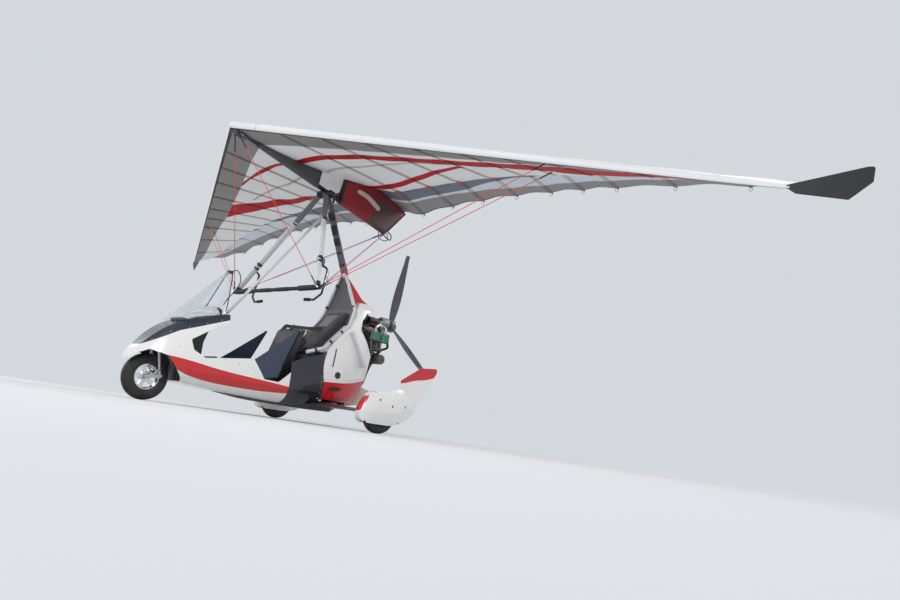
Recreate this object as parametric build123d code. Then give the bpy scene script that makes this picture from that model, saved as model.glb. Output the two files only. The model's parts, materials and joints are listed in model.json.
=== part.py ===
from build123d import *
from math import cos, radians, sin, tan
import os

os.makedirs("parts", exist_ok=True)

# Two-seat flex-wing microlight, parked on its three wheels with the wing set up on the mast.
# Millimetres. +X is the aircraft's left side, the nose points to -Y, the ground is z = 0.
# Every y below counts from the main wheel axle; SHIFT_Y then centres the overall length.

SHIFT_Y = 619.0

TYRE_R = 205.0
TYRE_HALF = 52.0
RIM_R = 112.0
RIM_HALF = 42.0
HUB_R = 34.0
TRACK_HALF = 895.0
AXLE_R = 14.0
FRONT_WHEEL_Y = -2008.0
STEER_RAKE = 14.0
CROWN_Y = FRONT_WHEEL_Y + 40
CROWN_Z = 462.0

HANG_Y = -423.0
HANG_Z = 2486.0
WING_PITCH = 10.9
KEEL_R = 25.0
NOSE_Y = -1342.0
KEEL_END_Y = 869.0
LE_SWEEP = 25.9
TIP_X = 4540.0
TIP_DROP = 80.0
BOLT_DROP = 62.0
BOLT_R = 6.0

PROP_Y = 762.0
PROP_Z = 1254.0
PROP_R = 870.0

SKIN = 7.0
WIDE = 600.0
FIT = 0.3


def box(x0, x1, y0, y1, z0, z1):
    """Box between two corners."""
    size = (x1 - x0, y1 - y0, z1 - z0)
    return Pos((x0 + x1) / 2, (y0 + y1) / 2, (z0 + z1) / 2) * Box(*size)


def plate(points, x0, x1, corner=0, rounded=None):
    """Side-view outline of (y, z) points from x0 to x1, all or some of its corners rounded."""
    side = Plane(origin=(x0, 0, 0), x_dir=(0, 1, 0), z_dir=(1, 0, 0))
    outline = make_face(Polyline(*points, close=True))
    if corner:
        picked = [v for v in outline.vertices() if rounded is None or (round(v.X), round(v.Y)) in rounded]
        outline = fillet(picked, corner)
    return extrude(side * outline, x1 - x0)


def rod(start, end, radius):
    """Round bar between two points."""
    a, b = Vector(*start), Vector(*end)
    return Solid.make_cylinder(radius, (b - a).length, Plane(origin=a, z_dir=b - a))


def pipe(points, radius, bend):
    """Round tube along a path with bent corners."""
    path = FilletPolyline(*points, radius=bend)
    return sweep(Plane(origin=path @ 0, z_dir=path % 0) * Circle(radius), path=path)


def mirrored(shape):
    """Same piece on the other side of the aircraft."""
    return mirror(shape, about=Plane.YZ)


def chain(steps):
    """Closed wire: each step is a point and the mid point of the arc to the next, or None for a line."""
    edges = []
    for i, (start, mid) in enumerate(steps):
        end = steps[(i + 1) % len(steps)][0]
        if mid is None:
            edges.append(Edge.make_line(start, end))
        else:
            edges.append(Edge.make_three_point_arc(start, mid, end))
    return Wire(edges)


def largest(shape):
    """The one big solid of a cut piece, without the slivers beside it."""
    return max(shape.solids(), key=lambda solid: solid.volume)


parts = {}


def add(name, shape):
    """Keep a finished piece under its name."""
    parts[name] = shape


def add_pair(name, shape):
    """Keep a left piece and its mirror image."""
    parts[name + "_port"] = shape
    parts[name + "_starboard"] = mirrored(shape)


# Body shell stations: y, floor z, floor half width, belt z, belt half width, top z, top half width
BODY_ROWS = [
    (-2222, 322, 30, 356, 54, 404, 28),
    (-2140, 264, 98, 343, 164, 488, 90),
    (-2010, 229, 156, 337, 262, 632, 130),
    (-1850, 208, 182, 328, 308, 745, 164),
    (-1640, 190, 198, 318, 338, 834, 198),
    (-1400, 176, 208, 311, 357, 897, 232),
    (-1120, 166, 216, 306, 367, 905, 290),
    (-850, 160, 224, 308, 371, 890, 316),
    (-580, 162, 230, 316, 366, 876, 324),
    (-330, 182, 234, 330, 353, 870, 326),
]
PANEL_FRONT_Y = -750
PANEL_REAR_Y = -330


def body_section(y, z0, w0, z1, w1, z2, w2, inset):
    """Flat floor, bowed lower side up to the belt, flatter bowed side above it."""
    z0, w0, w1 = z0 + inset, w0 - inset * 0.7, w1 - inset
    z2, w2 = z2 - inset, w2 - inset * 0.7
    low = (w0 + (w1 - w0) * 0.68, z0 + (z1 - z0) * 0.36)
    top = (w1 - (w1 - w2) * 0.36, z1 + (z2 - z1) * 0.52)
    return chain([
        ((-w0, y, z0), None),
        ((w0, y, z0), (low[0], y, low[1])),
        ((w1, y, z1), (top[0], y, top[1])),
        ((w2, y, z2), None),
        ((-w2, y, z2), (-top[0], y, top[1])),
        ((-w1, y, z1), (-low[0], y, low[1])),
    ])


def body_form(inset, first_y, last_y):
    """Smooth body through the stations, its two ends moved to the given y."""
    sections = []
    for i, (y, *row) in enumerate(BODY_ROWS):
        y = first_y if i == 0 else last_y if i == len(BODY_ROWS) - 1 else y
        sections.append(body_section(y, *row, inset))
    return Solid.make_loft(sections)


body_outer = body_form(0, BODY_ROWS[0][0], PANEL_REAR_Y)
body_inner = body_form(SKIN, BODY_ROWS[0][0] + SKIN, PANEL_REAR_Y + 6)
body_skin = body_outer - body_inner

# Upper edge of the white pod in side view: deck line, entry notch, sill, step before the seat.
POD_EDGE = [
    (-2320, 452), (-2182, 452), (-1874, 652), (-1440, 836), (-1440, 806), (-1520, 774),
    (-1782, 588), (-1756, 500), (-1650, 446), (-1176, 524), (-1034, 352), (-872, 350),
    (-750, 462), (-600, 462), (-600, 1100), (-2320, 1100),
]
ROUNDED = POD_EDGE[5:12]
ENTRY_CORNER = 24
WHEEL_ARCH = [
    (-1762, -100), (-1770, 196), (-1872, 300), (-1958, 408), (-2092, 442), (-2172, 392),
    (-2240, 318), (-2290, -100),
]
pod = body_skin - plate(POD_EDGE, -WIDE, WIDE, ENTRY_CORNER, ROUNDED)
pod -= plate(WHEEL_ARCH, -WIDE, WIDE, 34)
pod &= box(-WIDE, WIDE, -2400, PANEL_FRONT_Y, 0, 1000)
add("front_pod", pod)

# Dark deck above the pod edge, carrying the screen, with the front strut passing through it.
DECK_EDGE = [
    (-2182, 453), (-1874, 653), (-1440, 837), (-1440, 906), (-1868, 742), (-1960, 742),
    (-2215, 480),
]
deck = body_skin & plate(DECK_EDGE, -WIDE, WIDE)
add("nose_deck", deck)

# Hood over the instruments, arched sections: y, base z, half width, crown z
HOOD_ROWS = [(-1800, 762, 60, 790), (-1690, 800, 120, 880), (-1520, 862, 188, 962)]


def hood_section(y, base, half, crown):
    """Arch over a flat base."""
    return chain([((half, y, base), (0, y, crown)), ((-half, y, base), None)])


hood = Solid.make_loft([hood_section(*row) for row in HOOD_ROWS])
hood -= body_skin

# Screen stations: z, front y, side y, half width
SCREEN_ROWS = [
    (690, -1975, -1400, 268),
    (900, -1792, -1460, 214),
    (1120, -1606, -1440, 140),
    (1330, -1432, -1392, 50),
]
SCREEN_THICK = 4.0


def screen_section(z, front_y, side_y, half):
    """Thin bowed strip at one height."""
    t = SCREEN_THICK
    return chain([
        ((half, side_y, z), (0, front_y, z)),
        ((-half, side_y, z), None),
        ((-half + t, side_y, z), (0, front_y + t, z)),
        ((half - t, side_y, z), None),
    ])


SCREEN_BASE = [(-2200, 500), (-2200, 745), (-1868, 745), (-1500, 885), (-1300, 905), (-1300, 500)]
SCREEN_REAR = [(-1505, 880), (-1478, 960), (-1402, 1345), (-1200, 1345), (-1200, 880)]
screen = Solid.make_loft([screen_section(*row) for row in SCREEN_ROWS])
screen = screen - plate(SCREEN_BASE, -WIDE, WIDE) - plate(SCREEN_REAR, -WIDE, WIDE)
screen -= body_outer
add("windscreen", screen)

TUB_TOP = [(-780, 556), (-320, 752), (-320, 1100), (-780, 1100)]
tub = body_skin - plate(TUB_TOP, -WIDE, WIDE)
tub &= box(-WIDE, WIDE, PANEL_FRONT_Y, PANEL_REAR_Y, 0, 1000)

# Rear cowl by heights: z, front y, rear y, front half width, middle half width, rear half width
COWL_ROWS = [
    (262, -330, 205, 300, 322, 214),
    (450, -330, 282, 352, 366, 262),
    (757, -330, 338, 338, 352, 262),
    (1010, -130, 372, 300, 302, 236),
    (1272, 62, 398, 205, 214, 170),
    (1398, 188, 414, 92, 100, 70),
]


def cowl_section(z, y0, y1, w0, w_mid, w1, inset):
    """Straight front, bowed sides and a bowed back at one height."""
    y0, y1 = y0 + inset, y1 - inset
    w0, w_mid, w1 = w0 - inset, w_mid - inset, w1 - inset
    mid_y = y0 + (y1 - y0) * 0.45
    return chain([
        ((-w0, y0, z), None),
        ((w0, y0, z), (w_mid, mid_y, z)),
        ((w1, y1 - 30, z), (0, y1, z)),
        ((-w1, y1 - 30, z), (-w_mid, mid_y, z)),
    ])


def cowl_form(inset):
    """Cowl body through its heights."""
    low, high = COWL_ROWS[0][0] + inset, COWL_ROWS[-1][0] - inset
    sections = []
    for i, (z, *row) in enumerate(COWL_ROWS):
        z = low if i == 0 else high if i == len(COWL_ROWS) - 1 else z
        sections.append(cowl_section(z, *row, inset))
    return Solid.make_loft(sections)


ENGINE_BAY = [
    (118, 1170), (205, 1278), (380, 1352), (600, 1372), (600, 690), (345, 782), (214, 940),
    (96, 1066),
]
cowl_outer = cowl_form(0)
cowl = cowl_outer - cowl_form(SKIN) - plate(ENGINE_BAY, -WIDE, WIDE, 22) - body_outer

# Black belly fairing, sections across: y, bottom z, half width, top z
BELLY_ROWS = [
    (-1335, 170, 8, 182),
    (-1080, 146, 66, 200),
    (-880, 138, 112, 208),
    (-330, 138, 196, 230),
    (-40, 146, 188, 250),
    (110, 214, 120, 262),
]


def belly_section(y, bottom, half, top):
    """Flat bottom with slanted sides."""
    return chain([
        ((-half * 0.82, y, bottom), None),
        ((half * 0.82, y, bottom), None),
        ((half, y, top), None),
        ((-half, y, top), None),
    ])


belly = Solid.make_loft([belly_section(*row) for row in BELLY_ROWS], True)
belly = belly - body_outer - cowl_outer
add("belly_fairing", belly)

# Duct under the tail with its radiator.
DUCT_SIDE = [(105, 232), (462, 300), (478, 436), (300, 462), (105, 400)]
DUCT_AIR = [(60, 238), (540, 328), (540, 424), (300, 450), (60, 386)]
DUCT_HALF = 205
DUCT_WALL = 8
duct = plate(DUCT_SIDE, -DUCT_HALF, DUCT_HALF) - plate(DUCT_AIR, -DUCT_HALF + DUCT_WALL, DUCT_HALF - DUCT_WALL)
duct = duct - cowl_outer - belly
add("radiator_duct", duct)
CORE_SIDE = [(330, 294), (365, 300), (365, 438), (330, 444)]
core = plate(CORE_SIDE, -DUCT_HALF + DUCT_WALL, DUCT_HALF - DUCT_WALL)
add("radiator", core - cowl_outer)

# Main beam along the cockpit floor, rising in front to the steering head.
BEAM_SIDE = [
    (-1932, 640), (-1892, 640), (-1660, 262), (-345, 262), (-345, 208), (-1700, 218),
    (-1945, 590),
]
steer = Pos(0, CROWN_Y, CROWN_Z) * Rot(-STEER_RAKE, 0, 0)
head_solid = steer * Pos(0, 0, 84) * Cylinder(29, 104)
head_bore = steer * Pos(0, 0, 84) * Cylinder(16.08, 140)
stem_room = steer * Pos(0, 0, 60) * Cylinder(19, 240)
beam = largest(plate(BEAM_SIDE, -26, 26, 6) - head_solid - stem_room - body_skin)
add("main_beam", beam)
add("steering_head", head_solid - head_bore - body_skin)

# Front fork: crown over the tyre, two legs, links reaching forward to the axle.
LINK_Y = FRONT_WHEEL_Y + 100
LINK_Z = TYRE_R + 22
FORK_X = 72.0
fork = steer * box(-84, 84, -26, 26, -13, 13)
fork += steer * Pos(0, 0, 70) * Cylinder(16, 140)
for side in (-1, 1):
    x = side * FORK_X
    fork += rod((x, CROWN_Y - 4, CROWN_Z), (x, LINK_Y, LINK_Z), 12)
    fork += rod((x - 11, LINK_Y, LINK_Z), (x + 11, LINK_Y, LINK_Z), 17)
    link = [
        (LINK_Y + 14, LINK_Z + 12), (FRONT_WHEEL_Y - 20, TYRE_R + 18),
        (FRONT_WHEEL_Y - 20, TYRE_R - 18), (LINK_Y + 14, LINK_Z - 12),
    ]
    fork += plate(link, x - 6, x + 6, 9)
TOW_R = 7.0
TOW_LENGTH = 16.0
TOW_ROOT = FORK_X + 14
fork += rod((-TOW_ROOT, FRONT_WHEEL_Y, TYRE_R), (TOW_ROOT, FRONT_WHEEL_Y, TYRE_R), AXLE_R)
for side in (-1, 1):
    root = (side * TOW_ROOT, FRONT_WHEEL_Y, TYRE_R)
    fork += rod(root, (side * (TOW_ROOT + TOW_LENGTH), FRONT_WHEEL_Y, TYRE_R), TOW_R)
add("front_fork", fork)


def tyre_and_rim():
    """Tyre and five-spoke alloy rim about the x axis."""
    bead, shoulder = TYRE_HALF - 12, TYRE_R - 24
    profile = chain([
        ((bead, 0, RIM_R), (TYRE_HALF - 1, 0, RIM_R + 34)),
        ((TYRE_HALF - 6, 0, shoulder), (0, 0, TYRE_R)),
        ((-TYRE_HALF + 6, 0, shoulder), (-TYRE_HALF + 1, 0, RIM_R + 34)),
        ((-bead, 0, RIM_R), None),
    ])
    tyre = revolve(Face(profile), Axis.X, 360)
    barrel = [
        (RIM_HALF, RIM_R), (RIM_HALF, RIM_R - 7), (14, RIM_R - 16), (-14, RIM_R - 16),
        (-RIM_HALF, RIM_R - 7), (-RIM_HALF, RIM_R),
    ]
    outline = Wire.make_polygon([(a, 0, r) for a, r in barrel], close=True)
    rim = revolve(Face(outline), Axis.X, 360)
    disc = Circle(RIM_R - 15)
    for i in range(5):
        window = make_face(Polyline((46, 10), (88, 36), (88, -36), (46, -10), close=True))
        disc -= Rot(0, 0, 72 * i) * fillet(window.vertices(), 7)
    across = Plane(origin=(-7, 0, 0), x_dir=(0, 1, 0), z_dir=(1, 0, 0))
    rim += extrude(across * disc, 14)
    rim += rod((-31, 0, 0), (31, 0, 0), HUB_R)
    rim -= rod((-40, 0, 0), (40, 0, 0), AXLE_R + 0.06)
    return tyre, rim


tyre, rim = tyre_and_rim()
WHEELS = [("front", 0, FRONT_WHEEL_Y), ("port", TRACK_HALF, 0), ("starboard", -TRACK_HALF, 0)]
for name, x, y in WHEELS:
    add(name + "_tyre", Pos(x, y, TYRE_R) * tyre)
    add(name + "_rim", Pos(x, y, TYRE_R) * rim)

# Gear leg stations: x, leading edge y, trailing edge y, bottom z, thickness
LEG_ROWS = [
    (120, -600, -70, 188, 46),
    (340, -410, -15, 190, 38),
    (782, -112, 78, 190, 30),
]


def leg_section(x, y0, y1, z, thick):
    """Flat bottom with a bowed back."""
    return chain([((x, y0, z), None), ((x, y1, z), (x, (y0 + y1) / 2, z + thick))])


leg = Solid.make_loft([leg_section(*row) for row in LEG_ROWS], True)
leg = leg - belly - body_inner - cowl_outer

# Spat stations: y, bottom z, top z, widest z, half width there, top half width
SPAT_ROWS = [
    (-284, 176, 232, 204, 26, 12),
    (-236, 104, 312, 208, 72, 32),
    (-140, 90, 392, 212, 94, 52),
    (10, 90, 424, 216, 97, 54),
    (170, 104, 462, 232, 86, 34),
    (300, 146, 452, 262, 56, 16),
    (440, 216, 392, 288, 14, 6),
]
# Flat fin that grows out of the spat's tail.
SPAT_FIN = [
    (236, 330), (236, 568), (494, 738), (716, 768), (742, 748), (734, 716), (462, 236), (400, 210),
    (300, 250),
]
FIN_HALF = 6
SPAT_WALL = 4.0
WELL_HALF = 62.0
WELL_LONG = 226.0


def spat_section(y, bottom, top, belt, half, crest, inset):
    """Egg-shaped section with a narrow crest."""
    bottom, top = bottom + inset, top - inset
    half, crest = half - inset, crest - inset * 0.5
    base = half * 0.74
    low = ((base + half) / 2 + half * 0.03, (bottom + belt) / 2)
    high = (crest + (half - crest) * 0.66, belt + (top - belt) * 0.56)
    return chain([
        ((-base, y, bottom), None),
        ((base, y, bottom), (low[0], y, low[1])),
        ((half, y, belt), (high[0], y, high[1])),
        ((crest, y, top), None),
        ((-crest, y, top), (-high[0], y, high[1])),
        ((-half, y, belt), (-low[0], y, low[1])),
    ])


spat = Solid.make_loft([spat_section(*row, 0) for row in SPAT_ROWS])
spat += plate(SPAT_FIN, -FIN_HALF, FIN_HALF, 12)
spat -= Solid.make_loft([spat_section(*row, SPAT_WALL) for row in SPAT_ROWS[1:6]])
spat -= box(-WELL_HALF, WELL_HALF, -WELL_LONG, WELL_LONG, 0, 150)
spat = Pos(TRACK_HALF, 0, 0) * spat
BOSS_R = 24.0
AXLE_END = TRACK_HALF + 84
axle = rod((770, 0, TYRE_R), (AXLE_END, 0, TYRE_R), AXLE_R)
axle += rod((788, 0, TYRE_R), (TRACK_HALF - 36, 0, TYRE_R), BOSS_R)
axle += rod((TRACK_HALF + 36, 0, TYRE_R), (AXLE_END, 0, TYRE_R), BOSS_R)
axle = largest(axle - leg)
spat -= axle
leg = largest(leg - spat)
add_pair("spat", spat)
add_pair("axle", axle)

# Mast, leaning forward to the hang bolt, with two lugs that hold the bolt.
pitch_sin, pitch_cos = sin(radians(WING_PITCH)), cos(radians(WING_PITCH))
BOLT = Vector(0, HANG_Y - BOLT_DROP * pitch_sin, HANG_Z - BOLT_DROP * pitch_cos)
MAST_FOOT = Vector(0, -46, 1684)
MAST_WIDE = 46.0
MAST_DEEP = 72.0
MAST_WALL = 4.0
MAST_GAP = 46.0
CAP_LENGTH = 30.0
LUG_IN, LUG_OUT = 16.0, 23.0
mast_run = BOLT - MAST_FOOT
tube_length = mast_run.length - MAST_GAP


def across_mast(distance):
    """Plane square to the mast at a distance up from its foot."""
    return Plane(origin=MAST_FOOT + mast_run.normalized() * distance, x_dir=(1, 0, 0), z_dir=mast_run)


outer_face = RectangleRounded(MAST_WIDE, MAST_DEEP, 15)
inner_face = RectangleRounded(MAST_WIDE - 2 * MAST_WALL, MAST_DEEP - 2 * MAST_WALL, 15 - MAST_WALL)
mast = extrude(across_mast(0) * (outer_face - inner_face), tube_length)
mast += extrude(across_mast(tube_length - CAP_LENGTH) * outer_face, CAP_LENGTH)
lug_side = across_mast(tube_length - 2)
for side in (-1, 1):
    lug = lug_side * Pos(side * (LUG_IN + LUG_OUT) / 2, 0, MAST_GAP / 2 + 1) * Box(LUG_OUT - LUG_IN, 40, MAST_GAP + 2)
    mast += lug + rod((side * LUG_IN, BOLT.Y, BOLT.Z), (side * LUG_OUT, BOLT.Y, BOLT.Z), 20)
mast += rod((-30, BOLT.Y, BOLT.Z), (30, BOLT.Y, BOLT.Z), BOLT_R)
add("mast", mast)

# Side rails: down from the mast foot, round the rear seat, forward along the tub.
RAIL_R = 19.0
RAIL_PATH = [(34, -45, 1668), (262, -12, 1262), (292, -76, 1085), (322, -380, 778), (330, -590, 700)]
rail = pipe(RAIL_PATH, RAIL_R, 70) - mast
tub = tub - rail - mirrored(rail)
cowl = cowl - rail - mirrored(rail)
add_pair("side_rail", rail)

# Slanted brace outside the cowl, bolted to the rail above and to the cowl's frame below.
BRACE_ENDS = ((344, -58, 1000), (372, 150, 690))
brace = rod(*BRACE_ENDS, 11) - cowl_outer - rail
add_pair("side_brace", brace)

strut_top = MAST_FOOT + mast_run * (1 - 100 / mast_run.length)
STRUT_FOOT = (0, -1765, 330)
STRUT_R = 15.0
strut = largest(rod(STRUT_FOOT, (0, strut_top.Y, strut_top.Z), STRUT_R) - mast - beam - body_skin)
hood -= rod(STRUT_FOOT, (0, strut_top.Y, strut_top.Z), STRUT_R + FIT)
hood = max((hood - screen - deck).solids(), key=lambda solid: solid.center().Y)
add("front_strut", strut)
add("dash_hood", hood)

leg = largest(leg - tub)
add("centre_tub", tub)
add_pair("leg", leg)

# Reclined front and rear seats.
SEAT_FRONT = [
    (-1150, 300), (-800, 275), (-700, 330), (-560, 940), (-572, 972), (-630, 965), (-760, 470),
    (-850, 385), (-1140, 395),
]
SEAT_REAR = [
    (-500, 560), (-430, 540), (-352, 690), (-150, 962), (26, 1210), (6, 1256), (-52, 1232),
    (-250, 982), (-440, 740), (-500, 650),
]
add("front_seat", plate(SEAT_FRONT, -205, 205, 12))
add("rear_seat", plate(SEAT_REAR, -215, 215, 10) - cowl_outer)

# Dark side guards of the front seat, leaning in from the sill to the top of the backrest.
GUARD = [
    (-1150, 520), (-1050, 600), (-734, 868), (-716, 906), (-688, 902), (-748, 742), (-836, 512),
    (-862, 396), (-1010, 362),
]
GUARD_X = (322, 274)
GUARD_Z = (362, 915)
GUARD_THICK = 5
guard_lean = (GUARD_X[0] - GUARD_X[1]) / (GUARD_Z[1] - GUARD_Z[0])
guard_plane = Plane(origin=(GUARD_X[0], 0, GUARD_Z[0]), x_dir=(0, 1, 0), z_dir=(1, 0, guard_lean))
guard_face = make_face(Polyline(*[(y, z - GUARD_Z[0]) for y, z in GUARD], close=True))
guard = largest(extrude(guard_plane * fillet(guard_face.vertices(), 6), GUARD_THICK) - body_skin)
add("seat_guards", guard + mirrored(guard))

# Fin fairing behind the mast foot, standing on the cowl.
FIN = [(-6, 1650), (18, 1652), (262, 1458), (408, 1400), (180, 1398), (84, 1330), (40, 1300)]
add("mast_fairing", plate(FIN, -9, 9) - cowl - mast)

# Engine as one block on two rails, with its gearbox.
ENGINE_FLOOR = 930.0
engine = box(-104, 104, 112, 604, ENGINE_FLOOR, 1206)
engine += box(-284, 284, 222, 556, 990, 1112)
engine += box(-60, 60, 470, 604, 1150, 1300)
engine += box(-168, 168, 214, 452, 1180, 1276)
engine -= cowl
add("engine_block", engine)
gearbox = rod((0, 604, PROP_Z), (0, 684, PROP_Z), 76) + rod((0, 604, PROP_Z - 90), (0, 668, PROP_Z - 90), 58)
add("gearbox", gearbox)
mount = rod((92, -190, ENGINE_FLOOR - 14), (92, 590, ENGINE_FLOOR - 14), 14) - cowl
add_pair("engine_mount", mount)
add("rear_cowl", cowl)

# Blade stations: radius, chord, pitch angle, thickness
BLADE_ROWS = [(58, 60, 48, 32), (230, 98, 36, 17), (520, 96, 23, 11), (PROP_R, 52, 15, 6)]


def blade_section(radius, chord, angle, thick):
    """Lens section of a propeller blade."""
    c, s = cos(radians(angle)), sin(radians(angle))

    def at(u, v):
        return (u * c - v * s, u * s + v * c, radius)

    half = chord / 2
    return chain([(at(-half, 0), at(0, thick * 0.72)), (at(half, 0), at(0, -thick * 0.28))])


blade = Solid.make_loft([blade_section(*row) for row in BLADE_ROWS])
prop = rod((0, -30, 0), (0, 30, 0), 74)
prop += rod((0, -77.5, 0), (0, -30, 0), 30)
prop += rod((0, 30, 0), (0, 44, 0), 34)
for turn in (8, 128, 248):
    prop += Rot(0, turn, 0) * blade
add("propeller", Pos(0, PROP_Y, PROP_Z) * prop)

# Wing pieces are drawn in the wing's own frame, keel along y, and then pitched nose up.
WING = Pos(0, HANG_Y, HANG_Z) * Rot(-WING_PITCH, 0, 0)


def le_y(x):
    """Leading edge line."""
    return NOSE_Y + x * tan(radians(LE_SWEEP))


def le_z(x):
    """Leading edge droop towards the tip."""
    return -TIP_DROP * x / TIP_X


# Sail stations: x, trailing y, trailing z, nose radius, then heights over the chord line of the
# upper skin at 42 % and at 74 %, and of the lower skin at 38 % and at 74 %
SAIL_ROWS = [
    (0, 1091, 378, 46, 168, 142, -20, 108),
    (500, 944, 222, 46, 165, 116, 26, 84),
    (920, 985, 296, 45, 156, 100, 26, 70),
    (1760, 1046, 350, 43, 134, 84, 18, 56),
    (2650, 1146, 356, 38, 108, 68, 10, 44),
    (3600, 1298, 338, 30, 78, 48, 6, 29),
    (4100, 1376, 302, 26, 60, 36, 4, 21),
    (TIP_X, 1312, 216, 17, 28, 18, 2, 6),
]
EDGE_THICK = 5.0
DOUBLE_END = 0.74
SAIL_WALL = 5.0


def sail_section(x, te_y, te_z, nose_r, up_mid, up_rear, low_mid, low_rear, wall):
    """Two-skinned aerofoil with a thin single-skin tail; a wall gives the air space inside it."""
    y0, z0 = le_y(x), le_z(x)

    def at(share, up):
        return (x, y0 + share * (te_y - y0), z0 + share * (te_z - z0) + up)

    nose = (x, y0 + wall, z0 + nose_r * 0.12)
    top_0 = (x, y0 + nose_r * 0.55 + wall, z0 + nose_r - wall)
    low_0 = (x, y0 + nose_r * 0.55 + wall, z0 - nose_r * 0.7 + wall)
    top_mid, low_mid_point = at(0.42, up_mid - 3 * wall), at(0.38, low_mid + 3 * wall)
    if wall:
        end, middle = DOUBLE_END - 0.06, (up_rear + low_rear) / 2 + 4
        tail = [(at(end, middle + 2), None), (at(end, middle - 2), low_mid_point)]
    else:
        tail = [
            (at(DOUBLE_END, up_rear), at(0.88, up_rear * 0.5 + 3)),
            (at(1.0, EDGE_THICK), None),
            (at(1.0, 0), at(0.88, low_rear * 0.52 - 2)),
            (at(DOUBLE_END, low_rear), low_mid_point),
        ]
    return chain([(low_0, nose), (top_0, top_mid), *tail])


sail_outer = Solid.make_loft([sail_section(*row, 0) for row in SAIL_ROWS], True)
inner_rows = [(SAIL_WALL, *SAIL_ROWS[0][1:]), *SAIL_ROWS[1:-1]]
sail_inner = Solid.make_loft([sail_section(*row, SAIL_WALL) for row in inner_rows], True)
both_sails = sail_outer + mirrored(sail_outer)
keel_solid = rod((0, NOSE_Y + 60, 0), (0, KEEL_END_Y, 0), KEEL_R)
KEEL_WALL = 3.0
keel = keel_solid - rod((0, NOSE_Y, 0), (0, KEEL_END_Y + 10, 0), KEEL_R - KEEL_WALL)
sail = sail_outer - sail_inner - keel_solid
add("sail_port", WING * sail)
add("sail_starboard", WING * mirrored(sail))
add("keel_tube", WING * keel)

# Cloth over the keel: dark sleeve in front, pocket behind the hang point, both up to the sail.
root_arcs = sail_section(*SAIL_ROWS[0], 0).edges()
root_line = [root_arcs[4] @ t for t in (0, 0.5)] + [root_arcs[5] @ t for t in (0, 0.33, 0.66, 1)]
over_root = plate([(p.Y, p.Z) for p in root_line] + [(NOSE_Y, 900), (1200, 900), (1200, 378)], -60, 60)
POCKET = [(140, -12), (866, -9), (1082, 366), (632, 440), (398, 385), (118, 262)]
pocket = plate(POCKET, -7, 7) + rod((0, 142, 0), (0, 862, 0), KEEL_R + 5)
pocket = pocket - over_root - both_sails - keel_solid
add("keel_pocket", WING * pocket)
SLEEVE = [(-1000, -8), (-192, -8), (-206, 160), (-990, 80)]
sleeve = plate(SLEEVE, -9, 9) + rod((0, -985, 0), (0, -150, 0), KEEL_R + 5)
sleeve = sleeve - over_root - both_sails - keel_solid
add("keel_sleeve", WING * sleeve)

# Winglet: upright plate that carries the leading edge line on and rises at its end.
WINGLET = [(0, 10), (300, 150), (560, 272), (612, 284), (606, 150), (452, -30), (90, -42)]
WINGLET_DIR = (0.86, 0.51, 0)
winglet_plane = Plane(origin=(TIP_X - 40, le_y(TIP_X) - 12, le_z(TIP_X)), x_dir=WINGLET_DIR, z_dir=(0.51, -0.86, 0))
winglet_face = make_face(Polyline(*WINGLET, close=True))
winglet = extrude(winglet_plane * fillet(winglet_face.vertices(), 16), 8) - sail_outer
add_pair("winglet", WING * winglet)

# Control frame: two flat uprights, base bar, apex bracket and two training bars.
BAR_X = 735.0
BAR_Y = -232.0
BAR_Z = -1273.0
BAR_R = 19.0
APEX = Vector(46, -82, -30)
upright_run = Vector(BAR_X - 8, BAR_Y, BAR_Z + 14) - APEX
upright_plane = Plane(origin=APEX, x_dir=(0, 1, 0), z_dir=upright_run)
upright = extrude(upright_plane * Ellipse(33, 15), upright_run.length) - keel_solid
bar = rod((-BAR_X - 26, BAR_Y, BAR_Z), (BAR_X + 26, BAR_Y, BAR_Z), BAR_R)
bar = bar - upright - mirrored(upright)
apex = box(-74, 74, -122, -56, -56, -KEEL_R) - upright - mirrored(upright)
add("apex_bracket", WING * apex)
add("base_bar", WING * bar)
add_pair("upright", WING * upright)
TRAIN_R = 11.0
TRAIN_PATH = [
    (585, -205, -1000), (612, -112, -1010), (620, -88, -1270), (530, -92, -1335), (380, -96, -1330),
]
train = pipe(TRAIN_PATH, TRAIN_R, 32) - upright
add_pair("training_bar", WING * train)

# Main stays: name, start at the bar's end, end on the wing
STAY_R = 3.5
CROSS_X = 2840.0
STAYS = [
    ("front_stay", (BAR_X + 4, BAR_Y - 18, BAR_Z + 6), (22, NOSE_Y + 90, -24)),
    ("rear_stay", (BAR_X + 4, BAR_Y + 18, BAR_Z + 6), (16, KEEL_END_Y - 3, -20)),
    ("side_stay", (BAR_X + 20, BAR_Y, BAR_Z + 6), (CROSS_X, le_y(CROSS_X) + 60, le_z(CROSS_X) + 10)),
]
for name, start, end in STAYS:
    stay = rod(start, end, STAY_R) - bar - keel_solid - upright - both_sails - pocket
    add_pair(name, WING * stay)

# Hang block: saddle round the keel with a tongue down to the hang bolt.
TONGUE = LUG_IN - 2 * FIT
saddle = box(-33, 33, -38, 38, -36, 36) + box(-TONGUE, TONGUE, -22, 22, -BOLT_DROP, -30)
saddle += rod((-TONGUE, 0, -BOLT_DROP), (TONGUE, 0, -BOLT_DROP), 22)
saddle -= rod((0, -50, 0), (0, 50, 0), KEEL_R + FIT)
saddle -= rod((-40, 0, -BOLT_DROP), (40, 0, -BOLT_DROP), BOLT_R + 0.06)
add("hang_block", WING * saddle)

for name, shape in parts.items():
    node = Pos(0, SHIFT_Y, 0) * shape
    node.label = name
    export_step(node, f"parts/{name}.step")
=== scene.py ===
import json
from math import cos, pi, radians, sin, tan

import bmesh
import bpy
from mathutils import Matrix, Vector
from mathutils.bvhtree import BVHTree


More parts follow.
